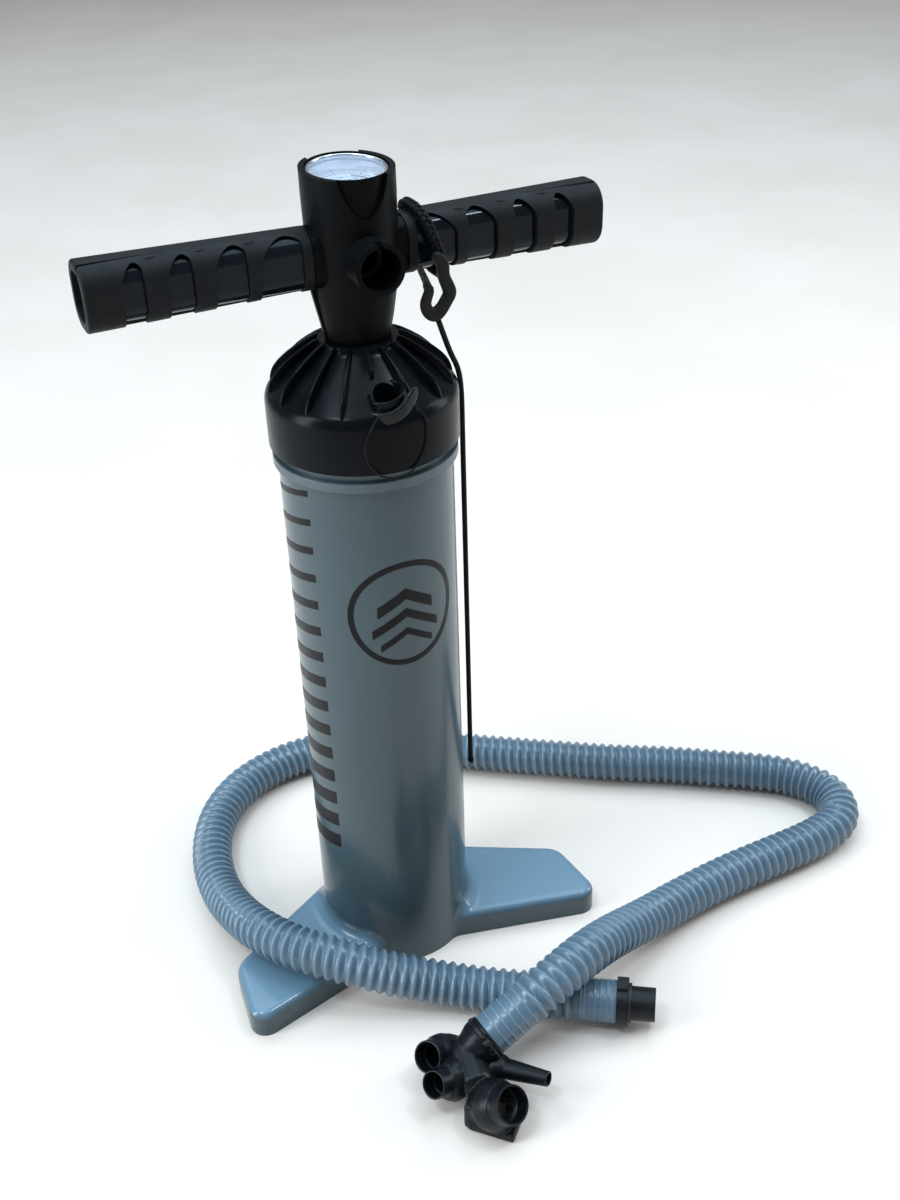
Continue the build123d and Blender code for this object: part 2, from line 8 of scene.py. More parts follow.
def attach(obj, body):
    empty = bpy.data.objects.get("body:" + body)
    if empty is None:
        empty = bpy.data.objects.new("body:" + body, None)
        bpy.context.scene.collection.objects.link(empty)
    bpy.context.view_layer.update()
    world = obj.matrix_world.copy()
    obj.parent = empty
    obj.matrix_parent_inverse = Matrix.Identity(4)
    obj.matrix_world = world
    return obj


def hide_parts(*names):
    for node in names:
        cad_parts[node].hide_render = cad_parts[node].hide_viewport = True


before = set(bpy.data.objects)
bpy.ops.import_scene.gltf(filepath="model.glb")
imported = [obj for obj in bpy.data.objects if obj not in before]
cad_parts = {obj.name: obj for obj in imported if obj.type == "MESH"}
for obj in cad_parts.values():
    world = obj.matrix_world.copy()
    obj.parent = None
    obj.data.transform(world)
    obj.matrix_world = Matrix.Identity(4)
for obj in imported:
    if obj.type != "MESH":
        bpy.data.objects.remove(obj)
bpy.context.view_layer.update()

MM = 0.001
SAME_POINT = 1e-7  # metres, under which two points are one

# ---- camera ----
CAMERA_AT = Vector((-0.2668, -0.7004, 0.7605))
CAMERA_LOOKS = Vector((0.35216, 0.76761, -0.53550))
CAMERA_ROLL = math.radians(1.877)
CAMERA_LENS = 39.485


def make_camera():
    data = bpy.data.cameras.new("camera")
    data.lens = CAMERA_LENS
    data.sensor_width = 36
    data.clip_start = 0.01
    camera = bpy.data.objects.new("camera", data)
    bpy.context.collection.objects.link(camera)
    ahead = CAMERA_LOOKS.normalized()
    level = ahead.cross(Vector((0, 0, 1))).normalized()
    upright = level.cross(ahead)
    right = math.cos(CAMERA_ROLL) * level - math.sin(CAMERA_ROLL) * upright
    up = math.sin(CAMERA_ROLL) * level + math.cos(CAMERA_ROLL) * upright
    turn = Matrix((right, up, -ahead)).transposed().to_4x4()
    camera.matrix_world = Matrix.Translation(CAMERA_AT) @ turn
    bpy.context.scene.camera = camera


make_camera()


# ---- mesh helpers ----
def mesh_object(name, points, faces, material=None, smooth=True):
    """A new piece from points in metres and faces."""
    mesh = bpy.data.meshes.new(name)
    mesh.from_pydata([tuple(p) for p in points], [], faces)
    mesh.validate()
    piece = bpy.data.objects.new(name, mesh)
    bpy.context.collection.objects.link(piece)
    if smooth:
        mesh.polygons.foreach_set("use_smooth", [True] * len(mesh.polygons))
    if material:
        mesh.materials.append(material)
    return piece


def face_outward(piece, merge=0.0):
    """Turns a piece's faces outward, after points closer than a distance in metres are merged."""
    clean = bmesh.new()
    clean.from_mesh(piece.data)
    if merge:
        bmesh.ops.remove_doubles(clean, verts=clean.verts, dist=merge)
    bmesh.ops.recalc_face_normals(clean, faces=clean.faces)
    clean.to_mesh(piece.data)
    clean.free()
    return piece


def band_faces(rows, ring, closed=False, first=0):
    """The quads between rows of points that each go round once."""
    faces = []
    for i in range(rows if closed else rows - 1):
        here, there = first + i * ring, first + (i + 1) % rows * ring
        for k in range(ring):
            n = (k + 1) % ring
            faces.append((here + k, here + n, there + n, there + k))
    return faces


def end_faces(rows, ring):
    """The two faces that close a tube of rows of points."""
    return [tuple(reversed(range(ring))), tuple(range((rows - 1) * ring, rows * ring))]


def finish_piece(piece, body, nodes=()):
    """Rides a piece on its body and hides the CAD nodes that it stands for."""
    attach(piece, body)
    if nodes:
        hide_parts(*nodes)
    return piece


def spline_curve(name, route, cyclic=False):
    """A curve object of one NURBS spline with the route's points, in millimetres, as its controls."""
    data = bpy.data.curves.new(name, "CURVE")
    data.dimensions = "3D"
    data.resolution_u = 24
    spline = data.splines.new("NURBS")
    spline.points.add(len(route) - 1)
    for point, place in zip(spline.points, route):
        point.co = (*(MM * c for c in place), 1)
    spline.order_u = 3
    spline.use_endpoint_u = not cyclic
    spline.use_cyclic_u = cyclic
    piece = bpy.data.objects.new(name, data)
    bpy.context.collection.objects.link(piece)
    return piece


def spline_points(route, cyclic=False):
    """The points of the route's NURBS spline, read from a curve with no bevel."""
    guide = spline_curve("guide", route, cyclic)
    bpy.context.view_layer.update()
    mesh = bpy.data.meshes.new_from_object(guide)
    points = [v.co.copy() for v in mesh.vertices]
    bpy.data.objects.remove(guide)
    bpy.data.meshes.remove(mesh)
    return points


def evenly(points, step):
    """Points a step apart along a line of points, its last point included."""
    lengths = [0.0]
    for a, b in zip(points, points[1:]):
        lengths.append(lengths[-1] + (b - a).length)
    count = max(2, round(lengths[-1] / step))
    found, at = [], 0
    for i in range(count + 1):
        along = lengths[-1] * i / count
        while at < len(points) - 2 and lengths[at + 1] < along:
            at += 1
        share = (along - lengths[at]) / max(lengths[at + 1] - lengths[at], 1e-12)
        found.append(points[at].lerp(points[at + 1], min(share, 1)))
    return found, lengths[-1]


def carried_frames(line, cyclic=False):
    """(centre, side, up) at each point of a line, turning as little as possible."""
    frames, side = [], None
    for i, here in enumerate(line):
        before = line[i - 1] if i or cyclic else here
        after = line[(i + 1) % len(line)] if i < len(line) - 1 or cyclic else here
        ahead = (after - before).normalized()
        if side is None:
            side = ahead.orthogonal().normalized()
        side = (side - ahead * side.dot(ahead)).normalized()
        frames.append((here, side, ahead.cross(side)))
    return frames


def tube_mesh(name, frames, radius_at, segments, material, cyclic=False):
    """A tube round carried frames; radius_at(ring, angle) gives its radius in metres."""
    points = []
    for i, (centre, side, up) in enumerate(frames):
        for k in range(segments):
            turn = 2 * math.pi * k / segments
            radius = radius_at(i, turn)
            points.append(centre + radius * (math.cos(turn) * side + math.sin(turn) * up))
    faces = band_faces(len(frames), segments, cyclic)
    if not cyclic:
        faces += end_faces(len(frames), segments)
    return mesh_object(name, points, faces, material)


def turned(name, origin, axis, outline, material, segments=64):
    """A turned mesh about an axis, from its (radius, height) outline in millimetres."""
    axis = Vector(axis).normalized()
    side = axis.orthogonal().normalized()
    up = axis.cross(side)
    origin = Vector(origin)
    points = []
    for radius, height in outline:
        for k in range(segments):
            turn = 2 * math.pi * k / segments
            spot = origin + height * axis + radius * (math.cos(turn) * side + math.sin(turn) * up)
            points.append(spot * MM)
    faces = band_faces(len(outline), segments, closed=True)
    return face_outward(mesh_object(name, points, faces, material), SAME_POINT)


def rounded_outline(corners, radius, steps=4):
    """A closed outline in which each corner is replaced by an arc-like bend."""
    path = []
    for i, here in enumerate(corners):
        before, after = Vector(corners[i - 1]), Vector(corners[(i + 1) % len(corners)])
        here = Vector(here)
        reach = min(radius, 0.45 * (before - here).length, 0.45 * (after - here).length)
        start = here + (before - here).normalized() * reach
        end = here + (after - here).normalized() * reach
        for k in range(steps + 1):
            t = k / steps
            path.append(start * (1 - t) ** 2 + 2 * here * t * (1 - t) + end * t**2)
    return [tuple(p) for p in path]


def bezier(start, pull, end, steps):
    """Points of a quadratic curve, its start left out."""
    found = []
    for k in range(1, steps + 1):
        t = k / steps
        found.append(tuple((1 - t) ** 2 * a + 2 * t * (1 - t) * b + t * t * c
                           for a, b, c in zip(start, pull, end)))
    return found


def cut_with(piece, cutter):
    """Cuts one closed mesh out of another."""
    modifier = piece.modifiers.new("cut", "BOOLEAN")
    modifier.operation = "DIFFERENCE"
    modifier.solver = "EXACT"
    modifier.object = cutter
    depsgraph = bpy.context.evaluated_depsgraph_get()
    mesh = bpy.data.meshes.new_from_object(piece.evaluated_get(depsgraph))
    piece.modifiers.clear()
    old = piece.data
    piece.data = mesh
    bpy.data.meshes.remove(old)
    bpy.data.objects.remove(cutter)


# ---- materials ----
DUST_COLOR = (0.30, 0.27, 0.23)


def surface(name, dark, light, rough, grain=0.0, grain_scale=900.0, patch_scale=28.0, wear=0.0,
            wear_color=(0.5, 0.5, 0.5), metallic=0.0, coat=0.0, sheen=0.0, dust=0.0, edge=0.0,
            specular=0.5, top=None, crest_highlight=None, groove_shade=None):
    """A moulded, painted or rubber finish: two tones in soft patches, uneven gloss, fine grain, worn
    edges, a little dust on what faces up, and edges rounded by the given radius in millimetres. A
    painted highlight can lighten its upward faces and crests, and painted shade can darken its grooves."""
    made = bpy.data.materials.new(name)
    made.use_nodes = True
    nodes, links = made.node_tree.nodes, made.node_tree.links
    shader = nodes["Principled BSDF"]
    shader.inputs["Metallic"].default_value = metallic
    shader.inputs["Specular IOR Level"].default_value = specular
    shader.inputs["Coat Weight"].default_value = coat
    shader.inputs["Coat Roughness"].default_value = 0.08
    shader.inputs["Sheen Weight"].default_value = sheen
    place = nodes.new("ShaderNodeTexCoord")

    def noise(scale, detail):
        texture = nodes.new("ShaderNodeTexNoise")
        texture.inputs["Scale"].default_value = scale
        texture.inputs["Detail"].default_value = detail
        links.new(place.outputs["Object"], texture.inputs["Vector"])
        return texture.outputs["Fac"]

    def between(value, low, high, to_low, to_high):
        node = nodes.new("ShaderNodeMapRange")
        for socket, number in zip(node.inputs[1:5], (low, high, to_low, to_high)):
            socket.default_value = number
        links.new(value, node.inputs[0])
        return node.outputs[0]

    def mixed(share, first, second):
        node = nodes.new("ShaderNodeMix")
        node.data_type = "RGBA"
        links.new(share, node.inputs[0])
        for socket, color in ((node.inputs[6], first), (node.inputs[7], second)):
            if isinstance(color, tuple):
                socket.default_value = (*color, 1)
            else:
                links.new(color, socket)
        return node.outputs[2]

    def pointiness():
        return nodes.new("ShaderNodeNewGeometry").outputs["Pointiness"]

    def upward():
        split = nodes.new("ShaderNodeSeparateXYZ")
        links.new(nodes.new("ShaderNodeNewGeometry").outputs["Normal"], split.inputs[0])
        return split.outputs["Z"]

    def product(first, second):
        node = nodes.new("ShaderNodeMath")
        node.operation = "MULTIPLY"
        links.new(first, node.inputs[0])
        links.new(second, node.inputs[1])
        return node.outputs[0]

    patches = noise(patch_scale, 6.0)
    color = mixed(between(patches, 0.35, 0.65, 0, 1), dark, light)
    gloss = between(noise(patch_scale * 3.1, 5.0), 0.3, 0.7, *rough)
    # painted highlight: upward-facing faces are mixed towards a lighter tone, as if lit from above
    if top:
        color = mixed(between(upward(), 0.10, 0.95, 0, 1), color, top)
    # painted highlight: convex crests are mixed towards a lighter tone
    if crest_highlight:
        color = mixed(between(pointiness(), 0.515, 0.57, 0, 0.8), color, crest_highlight)
    # painted shade: concave grooves are mixed towards a darker tone
    if groove_shade:
        color = mixed(between(pointiness(), 0.49, 0.44, 0, 0.85), color, groove_shade)
    if wear:
        edges = between(pointiness(), 0.53, 0.60, 0, wear)
        scuffs = between(noise(420, 3.0), 0.45, 0.62, 0, 1)
        color = mixed(product(edges, scuffs), color, wear_color)
    if dust:
        settled = between(upward(), 0.35, 1.0, 0, dust)
        blotches = between(noise(95, 6.0), 0.42, 0.68, 0, 1)
        color = mixed(product(settled, blotches), color, DUST_COLOR)
    links.new(color, shader.inputs["Base Color"])
    links.new(gloss, shader.inputs["Roughness"])
    bump = nodes.new("ShaderNodeBump")
    bump.inputs["Strength"].default_value = grain
    bump.inputs["Distance"].default_value = 0.0003
    links.new(noise(grain_scale, 3.0), bump.inputs["Height"])
    if edge:
        rounding = nodes.new("ShaderNodeBevel")
        rounding.samples = 4
        rounding.inputs["Radius"].default_value = edge * MM
        links.new(rounding.outputs["Normal"], bump.inputs["Normal"])
    links.new(bump.outputs["Normal"], shader.inputs["Normal"])
    return made


def clear_lens():
    """A clear plastic window: mostly see-through, with reflections that grow at a slant."""
    made = bpy.data.materials.new("lens_clear")
    made.use_nodes = True
    nodes, links = made.node_tree.nodes, made.node_tree.links
    shader = nodes["Principled BSDF"]
    shader.inputs["Base Color"].default_value = (0.93, 0.96, 1.0, 1)
    shader.inputs["Alpha"].default_value = 0.16
    place = nodes.new("ShaderNodeTexCoord")
    smears = nodes.new("ShaderNodeTexNoise")
    smears.inputs["Scale"].default_value = 160
    smears.inputs["Detail"].default_value = 5
    links.new(place.outputs["Object"], smears.inputs["Vector"])
    gloss = nodes.new("ShaderNodeMapRange")
    for socket, number in zip(gloss.inputs[1:5], (0.4, 0.65, 0.04, 0.16)):
        socket.default_value = number
    links.new(smears.outputs["Fac"], gloss.inputs[0])
    links.new(gloss.outputs[0], shader.inputs["Roughness"])
    return made


# the barrel's upward faces carry a painted highlight, a lighter bluer tone where overhead light falls
BARREL_BLUE = surface("barrel_blue", (0.040, 0.064, 0.074), (0.046, 0.074, 0.086), (0.18, 0.28),
                      grain=0.015, patch_scale=7.0, coat=0.12, dust=0.04, specular=0.42, top=(0.130, 0.225, 0.305))
LIP_GREY = surface("lip_grey", (0.060, 0.084, 0.098), (0.076, 0.102, 0.118), (0.32, 0.45), grain=0.06,
                   edge=0.8)
CAP_BLACK = surface("cap_black", (0.0022, 0.0030, 0.0042), (0.0034, 0.0046, 0.0066), (0.18, 0.28), grain=0.04,
                    grain_scale=1300, dust=0.012, edge=0.5, specular=0.09)
HUB_BLACK = surface("hub_black", (0.0024, 0.0027, 0.0032), (0.0036, 0.0040, 0.0046), (0.34, 0.46), grain=0.06,
                    grain_scale=1700, dust=0.01, edge=0.6, specular=0.055)
ARM_BLACK = surface("arm_black", (0.0024, 0.0045, 0.0078), (0.0040, 0.0070, 0.0112), (0.10, 0.16),
                    specular=0.20)
GRIP_RUBBER = surface("grip_rubber", (0.0048, 0.0054, 0.0064), (0.0075, 0.0082, 0.0094), (0.50, 0.64),
                      grain=0.12, grain_scale=2100, dust=0.01, edge=0.6, specular=0.17)
SEAL_RUBBER = surface("seal_rubber", (0.010, 0.010, 0.011), (0.017, 0.017, 0.018), (0.45, 0.6), grain=0.15)
INNER_WHITE = surface("inner_white", (0.60, 0.60, 0.57), (0.70, 0.70, 0.67), (0.35, 0.5), grain=0.10,
                      edge=0.5)
ROD_METAL = surface("rod_metal", (0.42, 0.43, 0.45), (0.55, 0.56, 0.58), (0.22, 0.36), grain=0.10,
                    grain_scale=500, metallic=1.0)
NUT_METAL = surface("nut_metal", (0.36, 0.36, 0.35), (0.52, 0.52, 0.50), (0.28, 0.45), grain=0.2,
                    metallic=1.0, edge=0.4)
GAUGE_METAL = surface("gauge_metal", (0.58, 0.60, 0.64), (0.74, 0.76, 0.80), (0.14, 0.26), grain=0.05,
                      metallic=1.0, edge=0.3)
DIAL_WHITE = surface("dial_white", (0.52, 0.64, 0.86), (0.62, 0.74, 0.95), (0.30, 0.42), grain=0.04,
                     patch_scale=60)
DIAL_PRINT = surface("dial_print", (0.020, 0.022, 0.030), (0.035, 0.038, 0.048), (0.4, 0.55), grain=0.05)
NEEDLE_PAINT = surface("needle_paint", (0.012, 0.012, 0.013), (0.022, 0.022, 0.023), (0.3, 0.45), grain=0.05,
                       edge=0.15)
# painted highlight along the hose's rib crests and painted shade in its grooves
HOSE_BLUE = surface("hose_blue", (0.080, 0.132, 0.178), (0.098, 0.158, 0.212), (0.20, 0.30), grain=0.04,
                    patch_scale=12.0, dust=0.03, crest_highlight=(0.225, 0.305, 0.370), groove_shade=(0.026, 0.044, 0.064))
CONNECTOR_BLACK = surface("connector_black", (0.0040, 0.0045, 0.0055), (0.0068, 0.0073, 0.0085), (0.30, 0.44),
                          grain=0.06, wear=0.3, wear_color=(0.04, 0.04, 0.04), dust=0.02, edge=0.6,
                          specular=0.20)
NOZZLE_RUBBER = surface("nozzle_rubber", (0.0028, 0.0040, 0.0062), (0.0048, 0.0064, 0.0092), (0.26, 0.42),
                        grain=0.08, grain_scale=1500, wear=0.7, wear_color=(0.10, 0.094, 0.085), dust=0.01,
                        specular=0.20)
STRAP_BLACK = surface("strap_black", (0.0032, 0.0036, 0.0045), (0.0060, 0.0065, 0.0078), (0.28, 0.42),
                      grain=0.06, wear=0.4, wear_color=(0.05, 0.05, 0.05), edge=0.3, specular=0.22)
HOOK_BLACK = surface("hook_black", (0.0050, 0.0045, 0.0040), (0.012, 0.0105, 0.009), (0.45, 0.62), grain=0.12,
                     wear=0.5, wear_color=(0.09, 0.078, 0.06), dust=0.25, edge=0.5, specular=0.2)
PRINT_DARK = surface("print_dark", (0.006, 0.005, 0.006), (0.010, 0.009, 0.010), (0.30, 0.42), grain=0.04,
                     grain_scale=1500, specular=0.14)
CORD_FIBRE = surface("cord_fibre", (0.0022, 0.0022, 0.0026), (0.0070, 0.0070, 0.0076), (0.6, 0.8), grain=0.4,
                     grain_scale=2600, patch_scale=300, sheen=0.05, dust=0.04, specular=0.12)
FLOOR_PALE = surface("floor_pale", (0.76, 0.655, 0.585), (0.80, 0.695, 0.625), (0.75, 0.9), grain=0.03,
                     patch_scale=3.0, specular=0.2)
LENS_CLEAR = clear_lens()

FINISHED_NODES = (
    (BARREL_BLUE, "barrel"),
    (LIP_GREY, "barrel_lip"),
    (SEAL_RUBBER, "cap_seal", "rod_wiper", "connector_seal", "piston_seal", "hose_port_seal"),
    (INNER_WHITE, "rod_bush", "rod_collar", "piston_disc", "intake_guide", "intake_valve", "outlet_seat",
     "outlet_guide", "outlet_valve"),
    (ROD_METAL, "piston_rod"),
    (NUT_METAL, "rod_nut", "gauge_pivot"),
    (HUB_BLACK, "hub"),
    (GAUGE_METAL, "gauge_case"),
    (DIAL_WHITE, "gauge_dial"),
    (NEEDLE_PAINT, "gauge_needle"),
    (CONNECTOR_BLACK, "hose_connector"),
    (ARM_BLACK, "handle_arm_right", "handle_arm_left"),
    (GRIP_RUBBER, "grip_right", "grip_left"),
    (HOOK_BLACK, "snap_gate"),
)
for finish, *node_names in FINISHED_NODES:
    for node_name in node_names:
        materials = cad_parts[node_name].data.materials
        materials.clear()
        materials.append(finish)

# ---- hose: one cord on the floor, over a foot and over itself ----
HOSE_ROUTE = [
    (77.5, -158.6, 18.6), (47, -137, 17.5), (16, -116, 17.2), (-13, -98.5, 22), (-41, -85, 31),
    (-70, -68, 42), (-97, -43, 44.5), (-113, -11, 40), (-120, 25, 28), (-123, 66, 17.5),
    (-117.5, 109, 16.2), (-100, 149, 16.5), (-72.5, 177, 16.3), (-38.5, 192, 16.2), (-1, 196, 16.5),
    (41, 188, 16.3), (81, 165.5, 16.2), (119.5, 137, 16.5), (158.3, 109.8, 16.3), (195.6, 84.6, 16.2),
    (235, 57.5, 16.4), (275, 34.5, 16.3), (309.5, 10.6, 16.2), (337, -8.5, 16.4), (362, -30, 16.3),
    (377, -62, 16.2), (362, -92, 16.4), (328, -99.5, 16.3), (285, -100.2, 16.2), (237, -101.5, 16.5),
    (190, -107.5, 17.5), (150, -119, 25), (115, -132.5, 39), (85, -147.5, 52), (51, -159.5, 53),
    (22, -163.5, 43), (-2.4, -165.5, 32),
]
RIB_R, WALL_R = 16.0, 13.5  # over the ribs and between them
RIB_PITCH = 7.5
PLAIN_END, PLAIN_START = 30.0, 6.0  # smooth lengths at the nozzle end and at the cuff
RING_PITCH = 6.0
HOSE_SIDES = 44


def smooth_step(value):
    value = min(max(value, 0.0), 1.0)
    return value * value * (3 - 2 * value)


def make_hose():
    """The corrugated hose: a helical rib on a plain wall, with smooth ends that carry shallow rings."""
    line, length = evenly(spline_points(HOSE_ROUTE), 0.5 * MM)
    total = length / MM
    frames = carried_frames(line)

    def radius(ring, turn):
        along = total * ring / (len(line) - 1)
        phase = ((along / RIB_PITCH) - turn / (2 * math.pi)) % 1.0
        rib = (RIB_R - WALL_R) * (0.5 + 0.5 * math.cos(2 * math.pi * (phase - 0.5))) ** 0.85
        ribbed = smooth_step((along - PLAIN_START) / 6) * smooth_step((total - PLAIN_END - along) / 6)
        ring_phase = (along / RING_PITCH) % 1.0
        shallow = 0.55 * smooth_step(1 - abs(ring_phase - 0.5) / 0.16)
        plain = 1.35 + shallow * (1 if total - along > 3 else 0)
        return MM * (WALL_R + ribbed * rib + (1 - ribbed) * plain)

    hose = tube_mesh("hose", frames, radius, HOSE_SIDES, HOSE_BLUE)
    finish_piece(hose, "barrel_body", ("hose_tube",))
    return hose, line, length


hose, hose_line, hose_length = make_hose()


# ---- leash: cord, knot and noose ----
LEASH_ROUTE = [
    (41.5, -25.3, 484.4), (45.4, -23.6, 474), (50.6, -20.6, 461.5), (57.6, -17, 448.5), (60.3, -14.9, 433),
    (60.5, -14.3, 404), (60.4, -14.6, 350), (60.55, -14.2, 295), (60.4, -14.6, 240), (60.5, -14.3, 190),
    (60.4, -14.6, 142),
]
LEASH_R = 1.75


def braided(radius, lay, strands):
    """The radius of a braided sheath: strands that cross each other at a lay length."""
    def at(along, turn):
        left = math.cos(strands * turn / 2 + 2 * math.pi * along / lay)
        right = math.cos(strands * turn / 2 - 2 * math.pi * along / lay)
        return radius * (0.90 + 0.10 * max(abs(left), abs(right)))
    return at


def make_cord(name, node, body, route, step, sheath, sides):
    """A braided cord along a route, with its line and its length in metres."""
    line, length = evenly(spline_points(route), step * MM)
    total = length / MM
    cord = tube_mesh(name, carried_frames(line),
                     lambda ring, turn: MM * sheath(total * ring / (len(line) - 1), turn), sides, CORD_FIBRE)
    finish_piece(cord, body, (node,))
    return cord, line, length


leash, leash_line, leash_length = make_cord(
    "leash", "leash_cord", "handle", LEASH_ROUTE, 0.45, braided(LEASH_R, 5.0, 6), 24)


def strand(name, centres, radius, sides=12, cyclic=False):
    """One strand of a plait or knot along points in metres."""
    return tube_mesh(name, carried_frames(centres, cyclic), lambda ring, turn: radius * MM, sides,
                     CORD_FIBRE, cyclic)


def joined(name, pieces):
    """Several meshes made into one piece."""
    whole = bmesh.new()
    for piece in pieces:
        whole.from_mesh(piece.data)
    mesh = bpy.data.meshes.new(name)
    whole.to_mesh(mesh)
    whole.free()
    for material in pieces[0].data.materials:
        mesh.materials.append(material)
    for piece in pieces:
        old = piece.data
        bpy.data.objects.remove(piece)
        bpy.data.meshes.remove(old)
    whole_piece = bpy.data.objects.new(name, mesh)
    bpy.context.collection.objects.link(whole_piece)
    return whole_piece


KNOT_AT = Vector((60.7, -14.7, 138.6))


def make_knot():
    """The leash's end: a small overhand knot, two wraps that pass through each other, and a short tail."""
    points = []
    steps = 160
    for i in range(steps):
        t = 2 * math.pi * i / steps
        points.append(MM * (KNOT_AT + Vector((
            0.62 * (math.sin(t) + 1.1 * math.sin(2 * t)),
            0.62 * (math.cos(t) - 1.1 * math.cos(2 * t)),
            -1.5 * math.sin(3 * t),
        ))))
    wraps = strand("wraps", points, 1.15, cyclic=True)
    tail = [MM * (KNOT_AT + Vector((0.15 * k, 0.05 * k, -1.0 - 0.35 * k))) for k in range(8)]
    end = strand("end", tail, 0.95)
    knot = joined("leash_end_knot", [wraps, end])
    return finish_piece(knot, "handle", ("leash_knot",))


knot = make_knot()

NOOSE_CENTRE = Vector((45, 0, 526.7))
NOOSE_NORMAL = Vector((0.94, 0, 0.34)).normalized()
NOOSE_SIDE = Vector((0, 1, 0))
NOOSE_UP = NOOSE_NORMAL.cross(NOOSE_SIDE)
NOOSE_HALF = (19.3, 22.4)  # half sizes of its centreline, across and up
NOOSE_ROUND = 16.0  # its corner radius


def noose_point(share):
    """A point of the noose's centreline in millimetres, and the way out of the loop there."""
    arc = math.pi * NOOSE_ROUND / 2
    flats = [2 * (half - NOOSE_ROUND) for half in NOOSE_HALF]
    at = (share % 1.0) * (4 * arc + 2 * sum(flats))
    for quarter, (across, up) in enumerate(((1, 1), (-1, 1), (-1, -1), (1, -1))):
        flat = flats[quarter % 2]
        turn = (quarter + min(at / arc, 1.0)) * math.pi / 2
        run = min(max(at - arc, 0.0), flat)
        if at <= arc + flat:
            break
        at -= arc + flat
    out = Vector((math.cos(turn), math.sin(turn)))
    ahead = Vector((-out.y, out.x))
    centre = Vector((across * (NOOSE_HALF[0] - NOOSE_ROUND), up * (NOOSE_HALF[1] - NOOSE_ROUND)))
    spot = centre + NOOSE_ROUND * out + run * ahead
    outward = out.x * NOOSE_SIDE + out.y * NOOSE_UP
    return NOOSE_CENTRE + spot.x * NOOSE_SIDE + spot.y * NOOSE_UP, outward


def make_noose():
    """The leash's loop round the right grip: three plaited cords."""
    plaits, steps = 13, 780
    strands = []
    for k in range(3):
        centres = []
        for i in range(steps):
            share = i / steps
            centre, outward = noose_point(share)
            turn = 2 * math.pi * (plaits * share + k / 3)
            wide = 1.75 * math.sin(turn)
            deep = 0.85 * math.sin(2 * turn)
            centres.append(MM * (centre + deep * outward + wide * NOOSE_NORMAL))
        strands.append(strand(f"plait_{k}", centres, 1.45, cyclic=True))
    noose = joined("leash_loop", strands)
    return finish_piece(noose, "handle", ("leash_noose",))


make_noose()

# ---- lanyard loop on the cap's port strap ----
LOOP_ROUTE = [
    (9.4, -57.6, 450.5), (15.6, -58.9, 444), (17.9, -58.2, 432), (15.2, -58.8, 420), (7, -60.4, 411),
    (-3, -60.8, 408.2), (-13.5, -59.6, 410), (-21, -57.2, 418.5), (-22.6, -56.6, 431),
    (-18.5, -58.2, 442), (-13.4, -59.3, 449),
]
LOOP_R = 0.6


port_cord, port_cord_line, port_cord_length = make_cord(
    "port_cord", "port_loop", "barrel_body", LOOP_ROUTE, 0.3, braided(LOOP_R, 1.6, 4), 14)


# ---- hose cuff and nozzle set ----
def away_from(start, before):
    """The unit direction from one point of a route to the point that it starts at."""
    return (Vector(start) - Vector(before)).normalized()


CUFF_WAY = away_from(HOSE_ROUTE[0], HOSE_ROUTE[1])
COLLAR_WAY = away_from(HOSE_ROUTE[-1], HOSE_ROUTE[-2])
CUFF_R, CUFF_BORE, CUFF_LENGTH = 15.2, 11.1, 22.0


def make_cuff():
    """The hose's moulded end, with four shallow rings towards the connector."""
    outline = [(CUFF_BORE, 0), (CUFF_R - 0.4, 0)]
    steps = 56
    for i in range(steps + 1):
        at = CUFF_LENGTH * i / steps
        ringed = 0.35 * smooth_step(1 - abs((at % 4.4) - 2.2) / 0.9) if at > 3 else 0.0
        outline.append((CUFF_R - 0.4 + ringed, at))
    outline += [(CUFF_R - 0.9, CUFF_LENGTH), (CUFF_BORE, CUFF_LENGTH)]
    piece = turned("hose_end_cuff", HOSE_ROUTE[0], CUFF_WAY, outline, HOSE_BLUE, 72)
    return finish_piece(piece, "barrel_body", ("hose_cuff",))


cuff = make_cuff()


def eased(points, steps=5, radius=1.2):
    """A turned outline with its corners rounded off."""
    return rounded_outline(points, radius, steps)


NOZZLES = {  # name: CAD node, mouth, the way it faces, and its (radius, height) outline from the mouth back
    "valve_nozzle_wide": (
        "nozzle_wide", (-47.3, -161.4, 29.6), (-0.764, -0.312, 0.563),
        [(9.5, 0), (10.9, 0.1), (11.0, -7.5), (12.9, -12), (13.5, -18), (10.5, -25), (6, -26), (8.4, -17),
         (8.4, -10), (9.4, -10)],
    ),
    "valve_nozzle_small": (
        "nozzle_small", (-53.0, -183.2, 29.6), (-0.804, -0.296, 0.512),
        [(8.1, 0), (9.4, 0.1), (9.5, -10.5), (12.2, -13.5), (14.8, -20), (12, -27), (5, -28), (7, -18),
         (7, -10), (8, -10)],
    ),
    "valve_nozzle_ring": (
        "nozzle_ring", (-14.2, -221.7, 31.7), (0.306, -0.702, 0.643),
        [(11.3, 0), (12.7, 0.1), (13.2, -7.5), (14.8, -13.5), (15.0, -19.5), (12, -25), (10.2, -25.4),
         (10.2, -10), (11.2, -10)],
    ),
    "valve_nozzle_taper": (
        "nozzle_taper", (18.4, -210.2, 25), (0.584, -0.76, 0.2),
        [(3.7, 0), (5.0, 0.1), (7, -31), (8.2, -33), (8.2, -38), (4.8, -38), (5.3, -31)],
    ),
}


def make_nozzles():
    made = []
    for name, (node, mouth, way, outline) in NOZZLES.items():
        piece = turned(name, mouth, way, eased(outline), NOZZLE_RUBBER, 72)
        made.append(finish_piece(piece, "barrel_body", (node,)))
    return made


